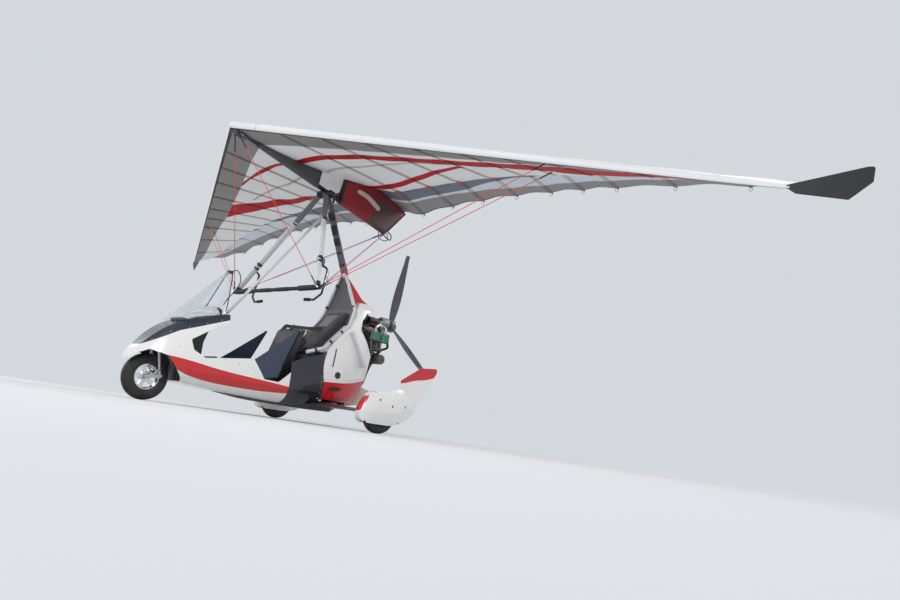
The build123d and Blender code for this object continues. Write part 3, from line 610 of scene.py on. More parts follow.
def sail_cloth(name, paint, rough=0.52):
    """Sail cloth: paint gives its colour; tone, weave and wrinkles are laid over it."""
    made, shader, at = new_material(name, Specular_IOR_Level=0.12)
    chart, cloth = made.node_tree.nodes.new("ShaderNodeUVMap"), made.node_tree.nodes.new("ShaderNodeUVMap")
    chart.uv_map, cloth.uv_map = "chart", "cloth"
    across, share, _ = split(out(chart))
    cloth = out(cloth)
    tone = use(TONE, cloth, Color=(1, 1, 1), Shade=(0.86, 0.87, 0.88), Scale=1.6, Amount=0.5, Roughness=rough,
               Spread=0.12, Grain=60.0)
    folds = bump_of(use(WRINKLES, cloth)["Height"], 0.5, 0.014)
    weave = use(WEAVE, cloth, Threads=900.0)["Height"]
    fill(shader.inputs, Base_Color=mix(1.0, paint(across, share, cloth), tone["Color"], "MULTIPLY"),
         Roughness=tone["Roughness"], Normal=bump_of(weave, 0.12, 0.0004, Normal=folds))
    return made


MAT["sail_top"] = sail_cloth("sail_top_cloth", top_paint)
MAT["sail_under_port"] = sail_cloth("sail_under_port_cloth", under_paint(PORT_RIBBONS, PORT_CROSS_TUBE_SHADOW))
MAT["sail_under_starboard"] = sail_cloth("sail_under_starboard_cloth", under_paint(STARBOARD_RIBBONS, STARBOARD_CROSS_TUBE_SHADOW))
MAT["tail_under"] = sail_cloth("sail_tail_underside", tail_paint, 0.46)

# Finish of each CAD node; a name stands for its port and starboard nodes too
CAD_FINISH = {
    "pod_white": "front_pod", "deck": "nose_deck", "plain_white": "dash_hood", "screen": "windscreen", "navy": "centre_tub",
    "cowl_white": "rear_cowl", "carbon": "belly_fairing leg", "pale_plastic": "radiator_duct",
    "cast": "radiator engine_block gearbox", "mast_grey": "mast", "light_tube": "front_strut side_rail",
    "fin_red": "mast_fairing keel_pocket", "dark_plastic": "front_seat rear_seat keel_sleeve",
    "mast_dark": "main_beam steering_head engine_mount hang_block keel_tube apex_bracket training_bar",
    "alloy": "side_brace front_fork port_rim starboard_rim", "steel": "axle", "spat_white": "spat",
    "rubber": "front_tyre port_tyre starboard_tyre", "chrome": "front_rim", "blade": "propeller", "foam": "base_bar",
    "upright": "upright", "winglet_black": "winglet", "guard_blue": "seat_guards",
    "red_sheath": "front_stay rear_stay side_stay", "sail_top": "sail",
}
FINISH_OF = {node: finish for finish, nodes in CAD_FINISH.items() for node in nodes.split()}
for node, thing in NODES.items():
    for slot in thing.material_slots:
        slot.material = MAT[FINISH_OF.get(node) or FINISH_OF[node.rsplit("_", 1)[0]]]


# Pieces: each is gathered in a mesh, placed in the CAD frame, and rides on a body


def finished(name, data, body):
    """Object of a mesh, riding on its body."""
    made = bpy.data.objects.new(name, data)
    bpy.context.collection.objects.link(made)
    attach(made, body)
    return made


def evaluated(thing):
    """Mesh of an object with its modifiers applied; they are taken off."""
    graph = bpy.context.evaluated_depsgraph_get()
    data = bpy.data.meshes.new_from_object(thing.evaluated_get(graph), depsgraph=graph)
    thing.modifiers.clear()
    return data


def settled(thing):
    """Applies the modifiers of an object to its mesh."""
    thing.data = evaluated(thing)
    return thing


def through(points, steps=6):
    """Smooth line through points, each stretch in steps."""
    if len(points) < 3:
        return points
    ends = [points[0] * 2 - points[1], *points, points[-1] * 2 - points[-2]]
    line = []
    for a, b, c, d in zip(ends, ends[1:], ends[2:], ends[3:]):
        for t in (i / steps for i in range(steps)):
            line.append(0.5 * (2 * b + (c - a) * t + (2 * a - 5 * b + 4 * c - d) * t * t
                               + (3 * b - a - 3 * c + d) * t ** 3))
    return line + [points[-1]]


def plain_point(x, y, z):
    return Vector((x, y, z))


def bolt(radius, height, ease, top):
    """Profile of a bolt's head, drawn in to its top radius."""
    return ((0, radius), (height, radius), (height + ease, top))


class Shape:
    """Closed forms gathered into one mesh, each face with its finish.

    Tuples are points on the left side in the frame of `place`; vectors are points in the CAD frame."""

    def __init__(self, place=plain_point):
        self.mesh = bmesh.new()
        self.finishes = []
        self.place = place
        self.side = 1

    def both(self):
        """Goes through the two sides; on the second, tuples stand for their mirror images."""
        for self.side in (1, -1):
            yield self.side
        self.side = 1

    def at(self, p):
        return p if isinstance(p, Vector) else self.place(self.side * p[0], p[1], p[2])

    def skin(self, rings, finish, smooth=True):
        """Joins rings of points one after another and closes the two ends."""
        if finish not in self.finishes:
            self.finishes.append(finish)
        made = [[self.mesh.verts.new(self.at(p)) for p in ring] for ring in rings]
        count = len(made[0])
        faces = [self.mesh.faces.new((a[i], a[(i + 1) % count], b[(i + 1) % count], b[i]))
                 for a, b in zip(made, made[1:]) for i in range(count)]
        faces += [self.mesh.faces.new(made[0][::-1]), self.mesh.faces.new(made[-1])]
        for face in faces:
            face.material_index = self.finishes.index(finish)
            face.smooth = smooth

    def tube(self, points, radius, finish, sides=12, bent=True, flat=1.0):
        """Round or flattened bar along a line; radius may be one for each given point."""
        line = [self.at(p) for p in points]
        sizes = radius if isinstance(radius, list) else [radius] * len(line)
        if bent:
            line = through(line)
        last = len(line) - 1
        turn = None
        rings = []
        for i, at in enumerate(line):
            ahead = (line[min(i + 1, last)] - line[max(i - 1, 0)]).normalized()
            if turn is None:
                turn = ahead.orthogonal().normalized()
            turn = (turn - ahead * turn.dot(ahead)).normalized()
            side = ahead.cross(turn)
            share = i / last * (len(sizes) - 1)
            low = min(int(share), len(sizes) - 2)
            size = sizes[low] + (sizes[low + 1] - sizes[low]) * (share - low)
            rings.append([at + (turn * cos(a) + side * sin(a) * flat) * size for a in turns(sides)])
        self.skin(rings, finish)

    def strap(self, spots, width, rise, finish):
        """Flat strip laid on a surface through (point, facing) pairs; width and rise may be one for each pair."""
        widths, rises = [v if isinstance(v, list) else [v] * len(spots) for v in (width, rise)]
        rings = []
        for i, (at, way) in enumerate(spots):
            ahead = (spots[min(i + 1, len(spots) - 1)][0] - spots[max(i - 1, 0)][0]).normalized()
            side, top = ahead.cross(way).normalized() * widths[i] / 2, way * rises[i]
            low, edge = way * 0.003, top - way * min(rises[i] * 0.4, 0.002)
            rings.append([at + side - low, at + side + edge, at + side * 0.88 + top,
                          at - side * 0.88 + top, at - side + edge, at - side - low])
        self.skin(rings, finish)

    def turned(self, at, axis, profile, finish, sides=28):
        """Turned form: profile gives distance along the axis and radius; a tuple as axis is turned over with its side."""
        at = self.at(at)
        axis = (axis if isinstance(axis, Vector) else Vector((self.side * axis[0], *axis[1:]))).normalized()
        turn = axis.orthogonal().normalized()
        side = axis.cross(turn)
        self.skin([[at + axis * d + (turn * cos(a) + side * sin(a)) * max(r, 0.0004) for a in turns(sides)]
                   for d, r in profile], finish)

    def plate(self, outline, depth, finish, corner):
        """Flat plate: outline points, thickened by the vector depth, with eased edges."""
        rim = [self.at(p) for p in outline]
        middle = sum(rim, Vector()) / len(rim)
        step = depth.normalized() * corner
        inner = [p + (middle - p).normalized() * corner for p in rim]
        self.skin([inner, [p + step for p in rim], [p + depth - step for p in rim], [p + depth for p in inner]],
                  finish, smooth=False)

    def block(self, a, b, finish, corner=0.004, taper=0.0):
        """Box between two corners, with eased edges; taper draws its top in."""
        ends = tuple(zip(self.at(a), self.at(b)))
        low, high = Vector([min(pair) for pair in ends]), Vector([max(pair) for pair in ends])
        tall, c = high.z - low.z, corner
        rings = []
        for rise, draw in ((0, c), (c, 0), (tall - c, taper), (tall, taper + c)):
            x0, y0, x1, y1 = low.x + draw, low.y + draw, high.x - draw, high.y - draw
            rings.append([Vector((x, y, low.z + rise)) for x, y in (
                (x0 + c, y0), (x1 - c, y0), (x1, y0 + c), (x1, y1 - c), (x1 - c, y1), (x0 + c, y1), (x0, y1 - c), (x0, y0 + c))])
        self.skin(rings, finish, smooth=False)

    def piece(self, name, body, sharp=38):
        """Ends the mesh as a piece on its body."""
        bmesh.ops.recalc_face_normals(self.mesh, faces=self.mesh.faces)
        data = bpy.data.meshes.new(name)
        self.mesh.to_mesh(data)
        self.mesh.free()
        for finish in self.finishes:
            data.materials.append(MAT[finish])
        data.set_sharp_from_angle(angle=radians(sharp))
        return finished(name, data, body)


# Wing skins, in the wing's own frame

# Distance from the keel; trailing edge y and z; nose radius; heights of the top at 42 % and 74 % of the chord and
# of the underside at 38 % and 74 %
SAIL_ROWS = [
    (0, 1.091, 0.378, 0.046, 0.168, 0.142, -0.020, 0.108), (0.50, 0.944, 0.222, 0.046, 0.165, 0.116, 0.026, 0.084),
    (0.92, 0.985, 0.296, 0.045, 0.156, 0.100, 0.026, 0.070), (1.76, 1.046, 0.350, 0.043, 0.134, 0.084, 0.018, 0.056),
    (2.65, 1.146, 0.356, 0.038, 0.108, 0.068, 0.010, 0.044), (3.60, 1.298, 0.338, 0.030, 0.078, 0.048, 0.006, 0.029),
    (4.10, 1.376, 0.302, 0.026, 0.060, 0.036, 0.004, 0.021), (4.54, 1.312, 0.216, 0.017, 0.028, 0.018, 0.002, 0.006),
]
UNDER_END = [(0, 0.79), (0.8, 0.785), (1.3, 0.767), (1.7, 0.747), (2.34, 0.69), (2.9, 0.655), (3.5, 0.61), (4.1, 0.575),
             (4.6, 0.545)]


def eased_row(rows, x):
    """Values of a table of rows at x, with a smooth run between the rows."""
    last = len(rows) - 1
    i = max(k for k in range(last) if rows[k][0] <= x or k == 0)
    a, b, c, d = rows[max(i - 1, 0)], rows[i], rows[i + 1], rows[min(i + 2, last)]
    run = c[0] - b[0]
    t = (x - b[0]) / run
    values = []
    for va, vb, vc, vd in zip(a[1:], b[1:], c[1:], d[1:]):
        plain = (vc - vb) / run
        before = (vb - va) / (b[0] - a[0]) if i > 0 else plain
        after = (vd - vc) / (d[0] - c[0]) if i + 2 <= last else plain
        m0, m1 = (0.0 if m * plain <= 0 else 2 / (1 / m + 1 / plain) for m in (before, after))
        values.append(vb * (2 * t ** 3 - 3 * t * t + 1) + m0 * run * (t ** 3 - 2 * t * t + t)
                      + vc * (3 * t * t - 2 * t ** 3) + m1 * run * (t ** 3 - t * t))
    return values


def parabola(a, b, c, s):
    """Height at s of the parabola through three points."""
    return sum(p[1] * (s - q[0]) * (s - r[0]) / ((p[0] - q[0]) * (p[0] - r[0]))
               for p, q, r in ((a, b, c), (b, a, c), (c, a, b)))


def between_battens(x):
    """0 at each batten, 1 half-way between two."""
    edges = (-BATTENS[0] * 0.6, *BATTENS, TIP_X)
    return next((sin(pi * (x - a) / (b - a)) ** 2 for a, b in zip(edges, edges[1:]) if a <= x <= b), 0.0)


def leading_edge(span):
    """Y and z of the leading edge, in the wing's frame."""
    return NOSE_Y + span * SWEEP, -TIP_DROP * span / TIP_X


def skin_point(x, share, lower, lift=0.0):
    """Point of the wing's upper or lower skin, moved outwards by lift; x may be negative. Gives the share where the
    skin leaves the rounded nose too."""
    span = abs(x)
    te_y, te_z, nose, up_mid, up_rear, low_mid, low_rear = eased_row(SAIL_ROWS, min(span, TIP_X))
    y0, z0 = leading_edge(span)
    start = 0.55 * nose / (te_y - y0)
    if lower:
        front = ((start, -0.7 * nose), (0.38, low_mid), (0.74, low_rear))
        rear = ((0.74, low_rear), (0.88, low_rear * 0.52 - 0.002), (1, 0))
    else:
        front = ((start, nose), (0.42, up_mid), (0.74, up_rear))
        rear = ((0.74, up_rear), (0.88, up_rear * 0.5 + 0.003), (1, 0.005))
    rise = 0.0
    for offset in (-0.035, -0.0175, 0, 0.0175, 0.035):
        s = min(max(share + offset, 0), 1)
        rise += parabola(*(front if s <= 0.74 else rear), s) / 5
    if share < 0.06:
        rise = parabola(*front, share)
    puff = between_battens(span) * min(max((share - start) / 0.22, 0), 1)
    rise += (0.006 * puff + lift) * (-1 if lower else 1)
    scallop = 0.022 * between_battens(span) * max((share - 0.86) / 0.14, 0) ** 2
    return wing(x, y0 + share * (te_y - y0) - scallop, z0 + share * (te_z - z0) + rise), start


def under_end(span):
    """Share of the chord where the lower skin ends."""
    return eased_row(UNDER_END, min(span, CHART_SPAN))[0]


def under_point(x, share, end, lift, roof_lift):
    """Point of the lower skin, which closes on the upper one at its end."""
    close = max((share / end - 0.90) / 0.10, 0) ** 2
    return skin_point(x, share, True, lift)[0].lerp(skin_point(x, share, False, roof_lift)[0], close)


def cloth_mesh(name, grid, finishes, side):
    """Sheet from a grid of (point, chart place, cloth place); its outer side looks away from the wing's inside."""
    data = bpy.data.meshes.new(name)
    width = len(grid[0])
    faces = []
    for i in range(len(grid) - 1):
        for j in range(i * width, i * width + width - 1):
            faces.append([j, j + 1, j + 1 + width, j + width][::side])
    flat = [item for row in grid for item in row]
    data.from_pydata([item[0] for item in flat], [], faces)
    for k, layer_name in ((1, "chart"), (2, "cloth")):
        layer = data.uv_layers.new(name=layer_name)
        for loop in data.loops:
            layer.data[loop.index].uv = flat[loop.vertex_index][k]
    for finish in finishes:
        data.materials.append(MAT[finish])
    data.shade_smooth()
    return data


def joined(parts, name):
    """One mesh of several, with their UV maps and finish kept."""
    mesh = bmesh.new()
    for part in parts:
        mesh.from_mesh(part)
    data = parts[0].copy()
    data.name = name
    mesh.to_mesh(data)
    mesh.free()
    for part in parts:
        bpy.data.meshes.remove(part)
    return data


def cloth_piece(data, body, thickness, inner=0, offset=0.0):
    """Ends a sheet as a piece with its thickness; inner is the step to the inner side's finish. Gives its area too."""
    area = sum(face.area for face in data.polygons)
    made = finished(data.name, data, body)
    wall = made.modifiers.new("thickness", "SOLIDIFY")
    wall.thickness, wall.offset, wall.material_offset = thickness, offset, inner
    return settled(made), area


def build_sails(pockets):
    """Each side's top skin, wrapped round the nose, and its lower skin as far as its rear edge."""
    stations = sorted({*spread(94, 0.0, TIP_X), *BATTENS})
    for label, side in SIDES:
        top, under = [], []
        for span in stations:
            x = side * max(span, 0.0005)
            start = skin_point(x, 0.5, False)[1]
            te_y, te_z, nose = eased_row(SAIL_ROWS, span)[:3]
            y0, z0 = leading_edge(span)

            def placed(at, share):
                return at, (span / CHART_SPAN, share), (x, y0 + share * (te_y - y0))
            row = []
            for k in range(11):
                angle = radians(-104 + 184 * k / 10)
                at = wing(x, y0 + 0.55 * nose * (1 - cos(angle)), z0 + nose * (0.15 + 0.85 * sin(angle)))
                row.append((at, (span / CHART_SPAN, -0.03 + 0.03 * k / 10 + start * k / 10), (x, y0 - 0.1 + 0.2 * k / 10)))
            top.append(row + [placed(skin_point(x, share, False)[0], share) for share in spread(48, start + 0.012, 1.0)])
            end = under_end(span)
            under.append([placed(under_point(x, share, end, 0.0, -0.004), share) for share in spread(44, start, end)])
        for part, grid, finishes, way, sewn in (("top_", top, ("sail_top", "tail_under"), -side, pockets[label][1:]),
                                                ("under_", under, ("sail_under_" + label,), side, pockets[label][:1])):
            data = cloth_mesh("sail_" + part + label, grid, finishes, way)
            skin, area = cloth_piece(data, "wing", 0.0012, len(finishes) - 1, -1.0)
            if grid is top:
                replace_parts(skin, "sail_" + label)
            round(area / 4.62 * 1.35, 2)
            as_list(sewn)


def along_skin(x, shares, lift=0.0):
    """Points down one chord: on the lower skin as far as its end, and on the top skin's underside behind it."""
    end = under_end(abs(x))
    return [under_point(x, share, end, lift, -0.004 - lift) if share <= end - 0.004
            else skin_point(x, share, False, -0.0015 - lift)[0] for share in shares]


# Batten pocket: distance from the batten's middle and height over the skin
POCKET_PROFILE = ((-0.026, 0.0004), (-0.0245, 0.0022), (-0.0095, 0.0026), (-0.005, 0.0056), (0, 0.0066), (0.005, 0.0056),
                  (0.0095, 0.0026), (0.0245, 0.0022), (0.026, 0.0004))


def pocket_grid(x, side, shares):
    """Grid of one batten's sewn pocket."""
    te_y, y0 = eased_row(SAIL_ROWS, x)[0], leading_edge(x)[0]
    columns = [along_skin(side * (x + shift), shares, lift) for shift, lift in POCKET_PROFILE]
    return [[(column[i], ((x + shift) / CHART_SPAN, share), (side * (x + shift), y0 + share * (te_y - y0)))
             for column, (shift, lift) in zip(columns, POCKET_PROFILE)] for i, share in enumerate(shares)]


def build_batten_pockets():
    """Sewn pocket over each batten, with the batten's ridge; red tabs, tip caps and tip strings."""
    across, down = Vector((1, 0, 0)), Vector((0, 0, -1))
    made = {}
    for label, side in SIDES:
        kept = []
        for part, finish in (("front_", "sail_under_" + label), ("rear_", "tail_under")):
            grids = [pocket_grid(x, side, spread(26, *((0.045, under_end(x) - 0.012) if part == "front_"
                                                       else (under_end(x) - 0.004, 0.997)))) for x in BATTENS]
            data = joined([cloth_mesh("batten_pocket", grid, (finish,), side) for grid in grids],
                          "batten_pockets_" + part + label)
            kept.append(cloth_piece(data, "wing", 0.0008)[0])
        tips = Shape()
        for x in BATTENS:
            end = under_end(x)
            x *= side
            edges = (along_skin(x, spread(5, end - 0.022, end + 0.014), lift) for lift in (0.0085, 0.0045))
            tips.skin([[p + across * shift for p, shift in ((a, -0.028), (a, 0.028), (b, 0.028), (b, -0.028))]
                       for a, b in zip(*edges)], "red_cloth", smooth=False)
            before, tip = along_skin(x, (0.985, 1.0))
            run = (tip - before).normalized()
            tips.tube([before, tip + run * 0.014], 0.0065, "dark_plastic", 10)
            tips.turned(tip + run * 0.012, run, ((0, 0.004), (0.001, 0.0085), (0.008, 0.0085), (0.011, 0.005)),
                        "dark_plastic", 12)
            tips.tube([tip + run * 0.010 + across * 0.006, tip + run * 0.004 + across * 0.014 + down * 0.030,
                       tip - run * 0.012 + down * 0.046, tip - run * 0.026 + down * 0.020, tip - run * 0.036 - down * 0.002],
                      0.0018, "cord_black", 6)
        kept.append(tips.piece("batten_ends_" + label, "wing"))
        made[label] = kept
    return made


# Geometry Nodes: small heads set on points, and round bars swept along lines


def new_tree(name, **inputs):
    """Geometry tree with named inputs; gives the tree and its two ends. None stands for a material."""
    tree = bpy.data.node_groups.new(name, "GeometryNodeTree")
    tree.interface.new_socket(name="Geometry", in_out="INPUT", socket_type="NodeSocketGeometry")
    for label, value in inputs.items():
        kind = "Material" if value is None else "Int" if isinstance(value, int) else "Float"
        made = tree.interface.new_socket(name=label, in_out="INPUT", socket_type="NodeSocket" + kind)
        if value is not None:
            made.default_value = value
    tree.interface.new_socket(name="Geometry", in_out="OUTPUT", socket_type="NodeSocketGeometry")
    return tree, tree.nodes.new("NodeGroupInput").outputs, tree.nodes.new("NodeGroupOutput").inputs


def end_tree(tree, start, end, made):
    """Realizes the instances and sets the finish."""
    real = new_node(tree, "GeometryNodeRealizeInstances", Geometry=made)
    paint = new_node(tree, "GeometryNodeSetMaterial", Geometry=out(real), Material=Value(start["Finish"]))
    put(out(paint), end[0])
    return tree


def build_heads_tree():
    """A low round head with a dished top on each point, turned to the way that the point faces."""
    tree, start, end = new_tree("fastener_heads", Radius=0.004, Height=0.002, Finish=None)
    radius, height = Value(start["Radius"]), Value(start["Height"])
    rim, cap = (new_node(tree, "GeometryNodeMeshCone", Vertices=12, Radius_Top=radius * top, Radius_Bottom=radius * bottom,
                         Depth=height * depth) for top, bottom, depth in ((0.82, 1.0, 1.0), (0.0, 0.5, 0.6)))
    shift = new_node(tree, "ShaderNodeCombineXYZ", Z=height)
    lift = new_node(tree, "GeometryNodeTransform", Translation=out(shift), Geometry=out(cap, "Mesh"))
    both = new_node(tree, "GeometryNodeJoinGeometry", Geometry=out(rim, "Mesh"))
    put(out(lift), both.inputs[0])
    facing = new_node(tree, "GeometryNodeInputNamedAttribute", Name="facing")
    facing.data_type = "FLOAT_VECTOR"
    turn = new_node(tree, "FunctionNodeAlignRotationToVector", Vector=out(facing, "Attribute"))
    turn.axis = "Z"
    set_on = new_node(tree, "GeometryNodeInstanceOnPoints", Points=Value(start["Geometry"]), Instance=out(both),
                      Rotation=out(turn))
    return end_tree(tree, start, end, out(set_on))


def build_bars_tree():
    """Round bar swept along the edges of a line mesh."""
    tree, start, end = new_tree("bars_on_lines", Radius=0.002, Sides=8, Finish=None)
    lines = new_node(tree, "GeometryNodeMeshToCurve", Mesh=Value(start["Geometry"]))
    ring = new_node(tree, "GeometryNodeCurvePrimitiveCircle", Radius=Value(start["Radius"]),
                    Resolution=Value(start["Sides"]))
    swept = new_node(tree, "GeometryNodeCurveToMesh", Curve=out(lines), Profile_Curve=out(ring), Fill_Caps=True)
    return end_tree(tree, start, end, out(new_node(tree, "GeometryNodeSetShadeSmooth", Geometry=out(swept))))


HEADS = build_heads_tree()
BARS = build_bars_tree()


def run_tree(name, data, tree, body, **values):
    """Puts a tree on a mesh, sets its inputs, and keeps the result as a plain mesh."""
    holder = bpy.data.objects.new(name + "_source", data)
    bpy.context.collection.objects.link(holder)
    step = holder.modifiers.new("tree", "NODES")
    step.node_group = tree
    for item in tree.interface.items_tree:
        if item.in_out == "INPUT" and item.name in values:
            step[item.identifier] = values[item.name]
    result = evaluated(holder)
    bpy.data.objects.remove(holder)
    return finished(name, result, body)


def heads(name, spots, body, finish, radius, height):
    """Fastener heads at (point, facing) pairs."""
    data = bpy.data.meshes.new(name)
    spots = [spot for spot in spots if spot]
    data.from_pydata([at for at, way in spots], [], [])
    facing = data.attributes.new("facing", "FLOAT_VECTOR", "POINT")
    facing.data.foreach_set("vector", [value for at, way in spots for value in way])
    return run_tree(name, data, HEADS, body, Radius=radius, Height=height, Finish=MAT[finish])


def bars(name, lines, body, finish, radius, sides):
    """Thin round bars along several straight lines."""
    data = bpy.data.meshes.new(name)
    data.from_pydata([p for line in lines for p in line], [(2 * k, 2 * k + 1) for k in range(len(lines))], [])
    return run_tree(name, data, BARS, body, Radius=radius, Sides=sides, Finish=MAT[finish])


def folded_sheet(name, outline, radius, bulge, finishes, patch):
    """Cloth folded round the keel tube: outline(along, up) gives y and z of its side in the wing's frame."""
    rows = []
    for along in spread(30, 0, 1):
        row = []
        for k in range(31):
            t = abs(k - 15) / 15
            side = 1 if k >= 15 else -1
            if t < 0.2:
                angle = -pi / 2 + side * t / 0.2 * pi * 0.42
                y = outline(along, 0)[0]
                x, z = side * abs(cos(angle)) * radius, sin(angle) * radius
            else:
                up = (t - 0.2) / 0.8
                y, z = outline(along, up)
                z = max(z, sin(-pi / 2 + pi * 0.42) * radius)
                swell = bulge * sin(pi * up) * sin(pi * min(max(along, 0.02), 0.98))
                x = side * (radius * (1 - up) ** 1.4 + 0.006 + swell)
            row.append((wing(x, y, z), (along, (k + 0.5) / 31), (y, side * (z + radius))))
        rows.append(row)
    data = cloth_mesh(name, rows, finishes, 1)
    for face in data.polygons:
        place = data.uv_layers["chart"].data[face.loop_start].uv
        face.material_index = patch(place[0], abs(place[1] - 0.5) * 2)
    made, area = cloth_piece(data, "wing", 0.0015)
    return made


POCKET_TOP = ((0, 0.118, 0.262), (0.28, 0.398, 0.385), (0.55, 0.632, 0.440), (1, 1.082, 0.366))


def roof_height(y):
    """Height of the top skin over the keel, in the wing's frame."""
    te_y = SAIL_ROWS[0][1]
    at = skin_point(0.001, min((y - NOSE_Y) / (te_y - NOSE_Y), 0.995), False)[0] - HANG
    return at.y * sin(WING_PITCH) + at.z * cos(WING_PITCH)


def pocket_side(along, up):
    """Side of the keel pocket: along from its front edge to its rear edge, up from the tube to the sail."""
    top_y, top_z = eased_row(POCKET_TOP, along)
    low_y, low_z = 0.140 + 0.726 * along, -0.012
    top_z = min(top_z, roof_height(top_y) - 0.006)
    return low_y + (top_y - low_y) * up, low_z + (top_z - low_z) * up


def sleeve_side(along, up):
    """Side of the dark sleeve on the keel's front half."""
    return -0.990 + 0.784 * along, -0.008 + (0.088 + 0.080 * along) * up


def pocket_patch(along, up):
    """1 on the pocket's brown rear corner."""
    return 1 if along > 0.56 + 0.5 * max(up - 0.75, 0) and up < 0.80 else 0


def build_keel_cloth():
    """Keel pocket with its dark rear corner, edging and blank label; front sleeve with black edging."""
    pocket = folded_sheet("keel_pocket_cloth", pocket_side, 0.032, 0.012, ("pocket_red", "pocket_brown"), pocket_patch)
    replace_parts(pocket, "keel_pocket")
    sleeve = folded_sheet("keel_sleeve_cloth", sleeve_side, 0.031, 0.006, ("sleeve_cloth",), lambda along, up: 0)
    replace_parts(sleeve, "keel_sleeve")
    trim, label = Shape(wing), Shape(wing)
    for side in trim.both():
        for edge, width in ((0.0, 0.015), (1.0, 0.0075)):
            for place, count, low, radius, sides in ((pocket_side, 9, 0.08, width, 10), (sleeve_side, 5, 0.12, 0.006, 8)):
                trim.tube([(0.034 * (1 - t) ** 1.4 + 0.008, *place(edge, t)) for t in spread(count, low, 1)], radius,
                          "webbing", sides, flat=0.6)
        for place, count, x, drop, radius in ((pocket_side, 18, 0.008, 0.004, 0.009), (sleeve_side, 8, 0.010, 0, 0.008)):
            line = [place(t, 1) for t in spread(count, 0, 1)]
            trim.tube([(x, y, z - drop) for y, z in line], radius, "webbing", 8, flat=0.5)
    trim.piece("keel_cloth_edging", "wing")
    for side in label.both():
        rings = []
        for along in spread(14, 0.20, 0.66):
            middle = 0.66 - 0.40 * (along - 0.20)
            half = 0.072 if 0.21 < along < 0.65 else 0.045
            ups = spread(5, middle - half, middle + half)
            rings.append([(0.032 * (1 - up) ** 1.4 + lift + 0.012 * sin(pi * up) * sin(pi * along), *pocket_side(along, up))
                          for up, lift in [(u, 0.0100) for u in ups] + [(u, 0.0078) for u in ups[::-1]]])
        label.skin(rings, "label_pale")
    label.piece("pocket_labels", "wing")


def stay_ends():
    """Every stay's two ends in the CAD frame, upper one first; the second side stay lies beside the first."""
    le_y, le_z = leading_edge(2.84)
    return [(name, wing(side * x, y, z), wing(side * foot_x, foot_y, foot_z))
            for label, side in SIDES
            for name, x, y, z, foot_x, foot_y, foot_z in (
                ("front", 0.022, -1.252, -0.024, 0.739, -0.250, -1.267),
                ("rear", 0.016, 0.866, -0.020, 0.739, -0.214, -1.267),
                ("side", 2.840, le_y + 0.060, le_z + 0.010, 0.755, -0.232, -1.267),
                ("second", 2.840, le_y + 0.175, le_z - 0.006, 0.757, -0.205, -1.262))]


def build_stay_fittings():
    """Sleeved ends, thimbles and tangs of the stays; the second side stays and a thin line to the keel's end."""
    ends, extra = Shape(), Shape(wing)
    for name, top, bottom in stay_ends():
        run = (bottom - top).normalized()
        for at, way, sleeve in ((top, run, 0.17 if name == "front" else 0.10), (bottom, -run, 0.08)):
            close, far = at + way * (0.022 + sleeve), at + way * (0.040 + sleeve)
            ends.tube([at + way * 0.022, close], 0.0062, "cord_black", 8)
            ends.tube([close, far], [0.0062, 0.0045], "cord_black", 8)
            ends.tube([at - way * 0.010, at + way * 0.024], 0.0052, "steel", 8)
            ends.turned(at - Vector((0.005, 0, 0)), (1, 0, 0), ((0, 0.007), (0.001, 0.009), (0.009, 0.009), (0.010, 0.007)),
                        "steel", 12)
        if name == "second":
            extra.tube([top, bottom], 0.0035, "red_sheath", 8)
    for side in extra.both():
        start, end = extra.at((0.752, -0.20, -1.25)), extra.at((0.010, 0.862, -0.034))
        extra.tube([start, start.lerp(end, 0.5) - Vector((0, 0, 0.012)), end], 0.0022, "purple_line", 6)
    ends.piece("stay_fittings", "wing")
    extra.piece("second_side_stays", "wing")


UPRIGHT_TOP, UPRIGHT_FOOT, ELBOW = (0.046, -0.082, -0.030), (0.727, -0.232, -1.259), (0.761, -0.232, -1.273)


